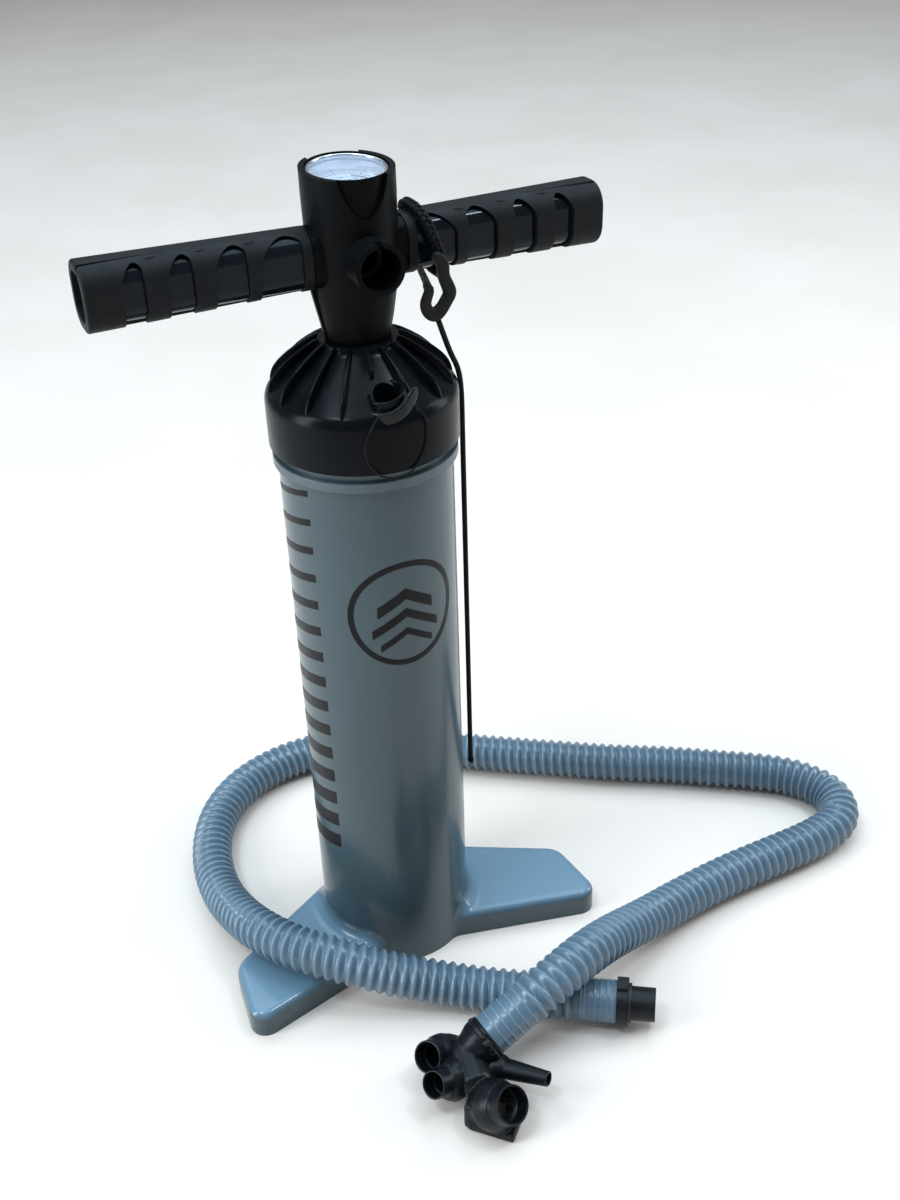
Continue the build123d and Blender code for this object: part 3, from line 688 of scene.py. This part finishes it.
def blended(name, parts, voxel, rounds, material):
    """One soft-edged body from overlapping closed meshes: remeshed, then relaxed."""
    piece = joined(name, parts)
    piece.data.materials.clear()
    piece.data.materials.append(material)
    remesh = piece.modifiers.new("remesh", "REMESH")
    remesh.mode = "VOXEL"
    remesh.voxel_size = voxel * MM
    relax = piece.modifiers.new("relax", "SMOOTH")
    relax.factor = 0.5
    relax.iterations = rounds
    depsgraph = bpy.context.evaluated_depsgraph_get()
    mesh = bpy.data.meshes.new_from_object(piece.evaluated_get(depsgraph))
    piece.modifiers.clear()
    old = piece.data
    piece.data = mesh
    bpy.data.meshes.remove(old)
    mesh.polygons.foreach_set("use_smooth", [True] * len(mesh.polygons))
    return piece


def block(name, centre, way, up, sizes, material):
    """A box with its length along one direction, from its centre and full sizes in millimetres."""
    way = Vector(way).normalized()
    side = way.cross(Vector(up)).normalized()
    top = side.cross(way)
    corners = []
    for a in (-0.5, 0.5):
        for b in (-0.5, 0.5):
            for c in (-0.5, 0.5):
                corners.append(MM * (Vector(centre) + a * sizes[0] * way + b * sizes[1] * side
                                     + c * sizes[2] * top))
    faces = [(0, 1, 3, 2), (4, 6, 7, 5), (0, 4, 5, 1), (2, 3, 7, 6), (0, 2, 6, 4), (1, 5, 7, 3)]
    return face_outward(mesh_object(name, corners, faces, material))


NOZZLE_ROOTS = {  # the outline and the sides of what joins each nozzle to the web
    "valve_nozzle_wide": ([(0, -35), (10, -35), (12.5, -25), (12.2, -19), (0, -19)], 40),
    "valve_nozzle_small": ([(0, -36), (10, -36), (13.5, -27), (13.9, -20), (0, -20)], 40),
    "valve_nozzle_ring": ([(0, -30), (14, -30), (17.2, -22), (16.2, -15), (13.9, -9), (0, -9)], 40),
    "valve_nozzle_taper": ([(0, -48), (7, -48), (9.4, -40), (8.6, -33), (0, -33)], 32),
}
TAB_WAY = (0.69, -0.72, 0)  # along the foot and the tab under the ring nozzle


def make_carrier():
    """The rubber web that holds the four nozzles together, with the flat tab at its foot."""
    hub_at = Vector(HOSE_ROUTE[-1]) + 21 * COLLAR_WAY
    parts = [
        turned("web", hub_at + Vector((0, 4, 1)), (-0.1, -0.97, -0.22),
               [(0, -4), (10.5, -4), (12.5, 2), (12.5, 26), (9, 31), (0, 31)], NOZZLE_RUBBER, 40),
        *(turned("root", *NOZZLES[name][1:3], outline, NOZZLE_RUBBER, sides)
          for name, (outline, sides) in NOZZLE_ROOTS.items()),
        block("foot", (-20.5, -203.5, 12.0), TAB_WAY, (0, 0, 1), (30, 27, 20), NOZZLE_RUBBER),
        block("tab", (-19.9, -208.6, 4.6), TAB_WAY, (0, 0, 1), (32, 23, 7.0), NOZZLE_RUBBER),
    ]
    bores = []
    for node, mouth, way, outline in NOZZLES.values():
        deep = 60 if node == "nozzle_ring" else 22  # the ring nozzle is open right through
        radius = outline[-2][0]
        bores.append(turned("bore", mouth, way, [(0, -deep), (radius, -deep), (radius, 4), (0, 4)],
                            NOZZLE_RUBBER, 40))
    carrier = blended("nozzle_web", parts, 0.8, 16, NOZZLE_RUBBER)
    for bore in bores:
        cut_with(carrier, bore)
    return finish_piece(carrier, "barrel_body", ("nozzle_carrier",))


def make_collar():
    """The collar that joins the nozzle set to the hose, pulled in under its tie strap."""
    outline = [(11, 0.2), (15.7, 0.3), (15.9, 2.2), (15.4, 3.6), (15.4, 5.4), (15.9, 7.0), (15.3, 10),
               (12.8, 16), (12.3, 21), (9.5, 21), (9.5, 9), (11, 5)]
    piece = turned("hose_collar", HOSE_ROUTE[-1], COLLAR_WAY, eased(outline, radius=0.8), NOZZLE_RUBBER, 72)
    return finish_piece(piece, "barrel_body", ("nozzle_collar",))


def make_tie():
    """The cable tie round the collar, with its square head and clipped tail."""
    outline = [(15.6, 2.9), (16.6, 2.9), (16.6, 5.9), (15.6, 5.9)]
    band = turned("band", HOSE_ROUTE[-1], COLLAR_WAY, outline, STRAP_BLACK, 72)
    up = Vector((0, 0, 1)) - COLLAR_WAY.z * COLLAR_WAY
    up.normalize()
    out = (0.72 * up + 0.69 * up.cross(COLLAR_WAY)).normalized()
    head_at = Vector(HOSE_ROUTE[-1]) + 4.4 * COLLAR_WAY + 17.6 * out
    head = block("head", head_at, COLLAR_WAY, out, (5.0, 5.4, 3.6), STRAP_BLACK)
    tail = block("tail", head_at + 4.4 * COLLAR_WAY.cross(out), COLLAR_WAY, out, (2.6, 5, 1.2), STRAP_BLACK)
    tie = joined("collar_tie", [band, head, tail])
    return finish_piece(tie, "barrel_body", ("nozzle_tie",))


nozzles = make_nozzles()
carrier = make_carrier()
collar = make_collar()
tie = make_tie()

# ---- cap ----
PORT_AT = Vector((-3.5, -48.0, 458.0))
PORT_AXIS = Vector((-0.26, -0.12, 0.955)).normalized()
PORT_R, PORT_BORE, PORT_STEP = 11.6, 9.4, 1.4  # the tube's radii, and the step down to its throat
CAP_R, CAP_LOW = 59.5, 411.0
CAP_RIBS = 16


def sharpen(piece, degrees):
    """Smooth shading, except over edges sharper than an angle."""
    piece.data.polygons.foreach_set("use_smooth", [True] * len(piece.data.polygons))
    piece.data.set_sharp_from_angle(angle=math.radians(degrees))


def make_cap_shell():
    """The screw cap: a straight skirt, a rounded shoulder, a cone and a short neck."""
    outline = [(55.3, CAP_LOW), (58.9, CAP_LOW)]
    outline += bezier((58.9, CAP_LOW), (CAP_R, CAP_LOW), (CAP_R, CAP_LOW + 0.7), 4)
    outline += [(CAP_R, 425), (CAP_R, 438)]
    outline += bezier((CAP_R, 438), (CAP_R, 444.2), (55.6, 447.2), 10)
    outline += [(50, 452.2), (44, 457.4), (38, 462.4), (32, 467.2), (28.5, 469.9)]
    outline += bezier((28.5, 469.9), (25.2, 472.3), (24.6, 474.2), 6)
    outline += [(24.5, 475.3), (24.1, 475.8), (17, 475.8), (17, 450), (25, 450), (45, 434), (55.3, 434)]
    shell = turned("cap_shell", (0, 0, 0), (0, 0, 1), outline, CAP_BLACK, 160)
    throat = PORT_BORE - PORT_STEP
    cut_with(shell, turned("drill", PORT_AT, PORT_AXIS, [(0, -41), (throat, -41), (throat, 4), (0, 4)],
                           CAP_BLACK, 48))
    sharpen(shell, 34)
    return finish_piece(shell, "barrel_body", ("cap",))


RIB_SIDE = [(20, 464), (23, 475.9), (25.6, 476.0), (31, 473.4), (38, 469.0), (45, 464.0), (51, 458.6),
            (55.0, 453.6), (57.0, 448.2), (57.4, 443), (52, 441), (40, 452)]
RIB_HALF = 1.15


def make_ribs():
    """The cap's webs, from its neck down to the shoulder, each with a rounded edge."""
    side = rounded_outline(RIB_SIDE, 2.2, 3)
    whole = bmesh.new()
    for k in range(CAP_RIBS):
        spin = Matrix.Rotation(math.radians(11.25 + 22.5 * k), 4, "Z")
        corners = [whole.verts.new(spin @ (MM * Vector((r, -RIB_HALF, z)))) for r, z in side]
        face = whole.faces.new(corners)
        pushed = bmesh.ops.extrude_face_region(whole, geom=[face])
        moved = [v for v in pushed["geom"] if isinstance(v, bmesh.types.BMVert)]
        across = spin @ Vector((0, 2 * RIB_HALF * MM, 0))
        bmesh.ops.translate(whole, verts=moved, vec=across)
    bmesh.ops.recalc_face_normals(whole, faces=whole.faces)
    mesh = bpy.data.meshes.new("cap_ribs")
    whole.to_mesh(mesh)
    whole.free()
    mesh.materials.append(CAP_BLACK)
    ribs = bpy.data.objects.new("cap_ribs", mesh)
    bpy.context.collection.objects.link(ribs)
    edge = ribs.modifiers.new("edge", "BEVEL")
    edge.width = 0.7 * MM
    edge.segments = 3
    edge.limit_method = "ANGLE"
    edge.angle_limit = math.radians(50)
    edge.harden_normals = True
    sharpen(ribs, 40)
    room = PORT_R - 0.5
    cut_with(ribs, turned("drill", PORT_AT, PORT_AXIS, [(0, -20), (room, -20), (room, 14), (0, 14)],
                          CAP_BLACK, 48))
    sharpen(ribs, 40)
    return finish_piece(ribs, "barrel_body")


def make_port():
    """The short tube of the cap's port, with a rolled rim."""
    throat = PORT_BORE - PORT_STEP
    outline = [(throat, -21), (throat, -12), (PORT_BORE, -11.4), (PORT_BORE, -0.6)]
    outline += bezier((PORT_BORE, -0.6), (PORT_BORE, 0.2), (10.5, 0.2), 4)
    outline += bezier((10.5, 0.2), (PORT_R, 0.2), (PORT_R, -0.9), 4)
    outline += [(PORT_R, -9), (PORT_R + 0.2, -12), (PORT_R + 1.2, -17), (PORT_R + 1.2, -21)]
    port = turned("cap_port", PORT_AT, PORT_AXIS, outline, CAP_BLACK, 72)
    return finish_piece(port, "barrel_body")


STRAP_LINE = [  # angle round the port, then the band's middle radius, middle height, thickness and depth
    (168, 12.4, -6.0, 1.2, 4.0), (184, 12.8, -7.0, 2.0, 5.6), (205, 13.1, -8.2, 2.5, 7.0),
    (230, 13.3, -9.2, 2.8, 8.0), (255, 13.4, -9.4, 3.0, 8.4), (280, 13.4, -9.0, 3.0, 8.2),
    (303, 13.5, -7.8, 2.9, 8.4), (324, 14.0, -5.8, 2.8, 9.0), (338, 15.2, -3.8, 2.7, 9.2),
    (348, 16.6, -2.2, 2.4, 7.6), (353, 17.8, -1.0, 1.4, 3.6),
]


def make_strap():
    """The wide strap round the port's front, which ends in a pointed tab at its right."""
    level = Vector((0.909, -0.417, 0))
    across = (level - PORT_AXIS * PORT_AXIS.dot(level)).normalized()
    back = PORT_AXIS.cross(across)
    section = rounded_outline([(-0.5, -0.5), (0.5, -0.5), (0.5, 0.5), (-0.5, 0.5)], 0.26, 3)
    points, stations = [], 72
    for i in range(stations + 1):
        spot = (len(STRAP_LINE) - 1) * i / stations
        first = min(int(spot), len(STRAP_LINE) - 2)
        share = smooth_step(spot - first) if first in (0, len(STRAP_LINE) - 2) else spot - first
        turn, radius, height, thick, deep = (
            a + (b - a) * share for a, b in zip(STRAP_LINE[first], STRAP_LINE[first + 1]))
        out = math.cos(math.radians(turn)) * across + math.sin(math.radians(turn)) * back
        for a, b in section:
            points.append(MM * (PORT_AT + (radius + a * thick) * out + (height + b * deep) * PORT_AXIS))
    faces = band_faces(stations + 1, len(section)) + end_faces(stations + 1, len(section))
    strap = face_outward(mesh_object("port_strap_band", points, faces, STRAP_BLACK))
    sharpen(strap, 60)
    return finish_piece(strap, "barrel_body", ("port_strap",))


make_cap_shell()
make_ribs()
make_port()
make_strap()

# ---- gauge ----
TOWER_TOP = 574.4
GAUGE_TILT = math.radians(5)
FACE_OUT = Vector((0, -math.sin(GAUGE_TILT), math.cos(GAUGE_TILT)))
FACE_RIGHT = Vector((1, 0, 0))
FACE_UP = FACE_OUT.cross(FACE_RIGHT)
DIAL_AT = -11.1  # height of the dial's face under the tower's rim


def on_face(x, y, height):
    """A point over the gauge's face, in metres, from millimetres across, up and out."""
    return MM * (Vector((0, 0, TOWER_TOP)) + x * FACE_RIGHT + y * FACE_UP + height * FACE_OUT)


def make_dial_marks():
    """Ticks round the scale, two thin arcs, a wide arc and two short bars."""
    points, faces = [], []

    def patch(corners):
        first = len(points)
        points.extend(on_face(x, y, DIAL_AT + 0.02) for x, y in corners)
        points.extend(on_face(x, y, DIAL_AT + 0.14) for x, y in corners)
        faces.append((first + 3, first + 2, first + 1, first))
        faces.append((first + 4, first + 5, first + 6, first + 7))
        faces.extend(band_faces(2, 4, first=first))

    def polar(radius, turn):
        return radius * math.cos(turn), radius * math.sin(turn)

    def arc(inner, outer, start, stop, steps):
        for k in range(steps):
            a, b = (math.radians(start + (stop - start) * j / steps) for j in (k, k + 1))
            patch([polar(inner, a), polar(outer, a), polar(outer, b), polar(inner, b)])

    arc(18.4, 18.75, 225, -45, 90)
    arc(13.0, 13.25, 225, -45, 80)
    arc(14.6, 16.6, 60, -40, 40)
    for k in range(31):
        turn = math.radians(225 - 9 * k)
        length, half = (3.2, 0.26) if k % 5 == 0 else (1.7, 0.13)
        out, side = Vector(polar(1, turn)), Vector(polar(1, turn + math.pi / 2))
        patch([tuple(out * r + side * w) for r, w in ((18.6, -half), (18.6 + length, -half),
                                                      (18.6 + length, half), (18.6, half))])
    patch([(-5.5, 5.6), (5.5, 5.6), (5.5, 8.2), (-5.5, 8.2)])
    patch([(-3.4, -9.4), (3.4, -9.4), (3.4, -8.6), (-3.4, -8.6)])
    marks = mesh_object("dial_marks", points, faces, DIAL_PRINT, smooth=False)
    return finish_piece(marks, "handle")


def make_numbers():
    """The numbers of the scale, as thin raised characters."""
    turn = Matrix((FACE_RIGHT, FACE_UP, FACE_OUT)).transposed().to_4x4()
    pieces = []
    for k in range(7):
        text = bpy.data.curves.new("number", "FONT")
        text.body = str(5 * k)
        text.size = 3.4 * MM
        text.extrude = 0.04 * MM
        text.align_x = "CENTER"
        text.align_y = "CENTER"
        holder = bpy.data.objects.new("number", text)
        bpy.context.collection.objects.link(holder)
        angle = math.radians(225 - 45 * k)
        at = on_face(11.0 * math.cos(angle), 11.0 * math.sin(angle), DIAL_AT + 0.08)
        holder.matrix_world = Matrix.Translation(at) @ turn
        bpy.context.view_layer.update()
        mesh = bpy.data.meshes.new_from_object(holder)
        mesh.transform(holder.matrix_world)
        bpy.data.objects.remove(holder)
        flat = bpy.data.objects.new("number_mesh", mesh)
        bpy.context.collection.objects.link(flat)
        pieces.append(flat)
    numbers = joined("dial_numbers", pieces)
    numbers.data.materials.clear()
    numbers.data.materials.append(DIAL_PRINT)
    return finish_piece(numbers, "handle")


def make_lens():
    """The gauge's clear window: a thin dome with a bevelled rim."""
    outline = [(0, -3.9), (23.5, -3.9), (23.5, -2.4)]
    outline += bezier((23.5, -2.4), (23.4, -1.5), (22.3, -1.3), 5)
    outline += [(21.8, -1.5), (18, -1.2), (12, -0.85), (6, -0.65), (0, -0.6)]
    lens = turned("gauge_window", (0, 0, TOWER_TOP), FACE_OUT, outline, LENS_CLEAR, 96)
    return finish_piece(lens, "handle", ("gauge_lens",))


def make_bezel():
    """The bright ring that holds the window down."""
    outline = [(21.6, -3.8), (23.45, -3.8), (23.45, -1.6)]
    outline += bezier((23.45, -1.6), (23.4, -0.7), (22.6, -0.7), 4)
    outline += bezier((22.6, -0.7), (21.9, -0.7), (21.7, -1.5), 4)
    ring = turned("gauge_bezel", (0, 0, TOWER_TOP), FACE_OUT, outline, GAUGE_METAL, 96)
    return finish_piece(ring, "handle")


make_dial_marks()
make_numbers()
make_lens()
make_bezel()

# ---- marks printed on the barrel ----
BARREL_R = 55.0
PRINT_LIFT, PRINT_THICK = 0.05, 0.10


def on_barrel(across, height, lift):
    """A point over the barrel: millimetres across from its front, to the right, and up."""
    turn = across / BARREL_R
    radius = BARREL_R + lift
    return MM * Vector((radius * math.sin(turn), -radius * math.cos(turn), height))


def printed(name, strips):
    """Thin printed shapes that follow the barrel. A strip is two lists of (across, height) points."""
    points, faces = [], []
    for left, right in strips:
        first, rows = len(points), len(left)
        for lift in (PRINT_LIFT, PRINT_LIFT + PRINT_THICK):
            for row in zip(left, right):
                points.extend(on_barrel(*place, lift) for place in row)
        for k in range(rows - 1):
            a, b = first + 2 * k, first + 2 * rows + 2 * k
            faces.extend([(a, a + 2, a + 3, a + 1), (b, b + 1, b + 3, b + 2), (a, b, b + 2, a + 2),
                          (a + 1, a + 3, b + 3, b + 1)])
        if left[0] != left[-1]:
            a, b = first, first + 2 * rows
            faces.append((a, a + 1, b + 1, b))
            a, b = first + 2 * rows - 2, first + 4 * rows - 2
            faces.append((a, b, b + 1, a + 1))
    piece = face_outward(mesh_object(name, points, faces, PRINT_DARK, smooth=False), SAME_POINT)
    return finish_piece(piece, "barrel_body")


def stretch(start, end, steps=12):
    """Points in a line from start to end."""
    return [tuple(a + (b - a) * k / steps for a, b in zip(start, end)) for k in range(steps + 1)]


BADGE_AT = (-1.0, 309.0)
BADGE_R = 41.5


def badge_ring(outer, inner, steps=120):
    turns = [2 * math.pi * k / steps for k in range(steps + 1)]
    turns[-1] = 0.0
    return tuple([(BADGE_AT[0] + r * math.cos(t), BADGE_AT[1] + r * math.sin(t)) for t in turns]
                 for r in (inner, outer))


def make_badge():
    """A plain round badge: one thick ring round three stacked chevrons."""
    strips = [badge_ring(BADGE_R - 3.4, BADGE_R - 7.4)]
    for k, thick in enumerate((8.0, 6.5, 5.0)):
        tip = BADGE_AT[1] + 19 - 14.5 * k
        reach = (19, 23, 18)[k]
        for side in (-1, 1):
            low = [(BADGE_AT[0] + side * reach * j / 8, tip - thick - 0.62 * reach * j / 8) for j in range(9)]
            high = [(x, z + thick) for x, z in low]
            strips.append((low, high))
    return printed("barrel_badge", strips)


STRIPES_LEFT, STRIPES_RIGHT = -100.0, -60.5  # across, round the barrel's left side
STRIPES_LOW, STRIPES_HIGH = 98.0, 398.0
STRIPE_COUNT = 15
STRIPE_LEAN = 9.0


def make_stripes():
    """A column of slanted bars that grow from thin at the top to thick at the bottom."""
    strips = []
    pitch = (STRIPES_HIGH - STRIPES_LOW) / STRIPE_COUNT
    for k in range(STRIPE_COUNT):
        thick = 4.0 + 0.55 * (STRIPE_COUNT - 1 - k)
        low = STRIPES_LOW + pitch * (k + 0.5) - thick / 2 - STRIPE_LEAN / 2
        lower = stretch((STRIPES_LEFT, low), (STRIPES_RIGHT, low + STRIPE_LEAN))
        strips.append((lower, [(x, z + thick) for x, z in lower]))
    return printed("barrel_stripes", strips)


make_badge()
make_stripes()

# ---- grips: the small raised tears between the windows ----
HANDLE_Z = 526.7
TEAR_SPANS = ((59, 70, 16.9), (87, 97, 17.4), (114, 124, 17.9))  # along the grip, and height over its axis


def make_tears(side, hand):
    """Three small raised tears along the front of a grip's top."""
    points, faces = [], []
    rows, ring = 14, 12
    for start, stop, rise in TEAR_SPANS:
        faces += band_faces(rows + 1, ring, first=len(points))
        for i in range(rows + 1):
            share = i / rows
            swell = math.sin(math.pi * share) ** 0.6 * (1.15 - 0.5 * share)
            x = side * (start + (stop - start) * share)
            for k in range(ring):
                turn = 2 * math.pi * k / ring
                y = -7.4 - 1.5 * share + 1.9 * swell * math.cos(turn)
                z = HANDLE_Z + rise - 0.9 - 0.35 * share + 1.5 * swell * math.sin(turn)
                points.append(MM * Vector((x, y, z)))
    piece = mesh_object(f"grip_tears_{hand}", points, faces, GRIP_RUBBER)
    return finish_piece(face_outward(piece, 20 * SAME_POINT), "handle")


make_tears(1, "right")
make_tears(-1, "left")

# ---- snap hook ----
HOOK_Y, HOOK_THICK = -25.3, 5.0
HOOK_LINE = [  # (x, z, width) along the middle of its bar
    (39.4, 524.0, 5.0), (42.6, 522.4, 7.0), (45.4, 518.0, 7.4), (45.2, 511.5, 7.0), (47.9, 505.2, 7.4),
    (49.6, 500.2, 7.8), (46.8, 496.0, 7.4), (43.6, 491.4, 7.4), (39.2, 488.2, 8.2), (34.8, 491.2, 8.0),
    (33.2, 496.2, 6.6), (35.0, 500.8, 5.6), (36.6, 504.6, 5.2), (33.8, 508.6, 4.2),
]


def make_hook():
    """The snap hook: a flat bar bent into a hook, with soft edges and a swivel eye under it."""
    controls = [(x, HOOK_Y, z) for x, z, width in HOOK_LINE]
    line, length = evenly(spline_points(controls), 0.55 * MM)
    count = len(line)
    section = rounded_outline([(-0.5, -0.5), (0.5, -0.5), (0.5, 0.5), (-0.5, 0.5)], 0.3, 4)
    points = []
    side = Vector((0, 1, 0))
    for i, here in enumerate(line):
        before, after = line[max(i - 1, 0)], line[min(i + 1, count - 1)]
        across = (after - before).normalized().cross(side)
        spot = (len(HOOK_LINE) - 1) * i / (count - 1)
        first = min(int(spot), len(HOOK_LINE) - 2)
        width = HOOK_LINE[first][2] + (HOOK_LINE[first + 1][2] - HOOK_LINE[first][2]) * (spot - first)
        end = min(i, count - 1 - i)
        blunt = 0.72 + 0.28 * smooth_step(end / 4)
        for a, b in section:
            points.append(here + MM * (a * width * blunt * across + b * HOOK_THICK * blunt * side))
    faces = band_faces(count, len(section)) + end_faces(count, len(section))
    bar = face_outward(mesh_object("bar", points, faces, HOOK_BLACK))
    sharpen(bar, 50)
    pin = turned("pin", (36.0, -22.9, 505.0), (0, -1, 0),
                 [(0, 0), (2.4, 0), (2.4, 1.1), (1.0, 1.1), (1.0, 4.3), (0.7, 4.6), (0, 4.6)], NUT_METAL, 24)
    neck = turned("neck", (35.6, -22.9, 501.2), (0.06, 0, 1.0),
                  [(0, -4), (1.5, -4), (1.7, 0), (1.9, 3.4), (0, 3.4)], HOOK_BLACK, 20)
    hook = joined("leash_snap_hook", [bar, pin, neck])
    return finish_piece(hook, "handle", ("snap_hook",))


make_hook()


# ---- floor and light ----
def make_floor():
    half = 6.0
    floor = mesh_object("floor", [(-half, -half, 0), (half, -half, 0), (half, half, 0), (-half, half, 0)],
                        [(0, 1, 2, 3)], FLOOR_PALE, smooth=False)


def make_lamp(name, place, target, size, power, color):
    data = bpy.data.lights.new(name, "AREA")
    data.shape = "RECTANGLE"
    data.size, data.size_y = size
    data.energy = power
    data.color = color
    lamp = bpy.data.objects.new(name, data)
    lamp.location = place
    lamp.rotation_mode = "QUATERNION"
    lamp.rotation_quaternion = (Vector(target) - Vector(place)).to_track_quat("-Z", "Y")
    bpy.context.collection.objects.link(lamp)


LAMPS = [  # name, place, what it faces, its two sizes, power and colour
    ("overhead", (0.3, 0.9, 4.2), (0.03, 0, 0.3), (5.0, 5.0), 225, (0.66, 0.86, 1.0)),
    ("front_left", (-0.95, -0.45, 2.2), (0, 0, 0.45), (0.60, 0.08), 13, (0.68, 0.85, 1.0)),
    ("front_right", (0.85, -0.6, 2.2), (0, 0, 0.45), (0.45, 0.07), 8, (0.80, 0.90, 1.0)),
    ("left", (-2.0, 0.1, 1.0), (0.03, 0, 0.3), (0.7, 1.9), 42, (0.80, 0.92, 1.0)),
    ("right", (2.0, -0.3, 1.0), (0.03, 0, 0.3), (0.6, 1.6), 20, (0.82, 0.93, 1.0)),
]


def make_lights():
    world = bpy.data.worlds.new("studio")
    world.use_nodes = True
    back = world.node_tree.nodes["Background"]
    back.inputs["Color"].default_value = (0.90, 0.94, 1.0, 1)
    back.inputs["Strength"].default_value = 0.30
    bpy.context.scene.world = world
    for lamp in LAMPS:
        make_lamp(*lamp)


make_floor()
make_lights()
view = bpy.context.scene.view_settings
view.view_transform = "Standard"
view.look = "None"
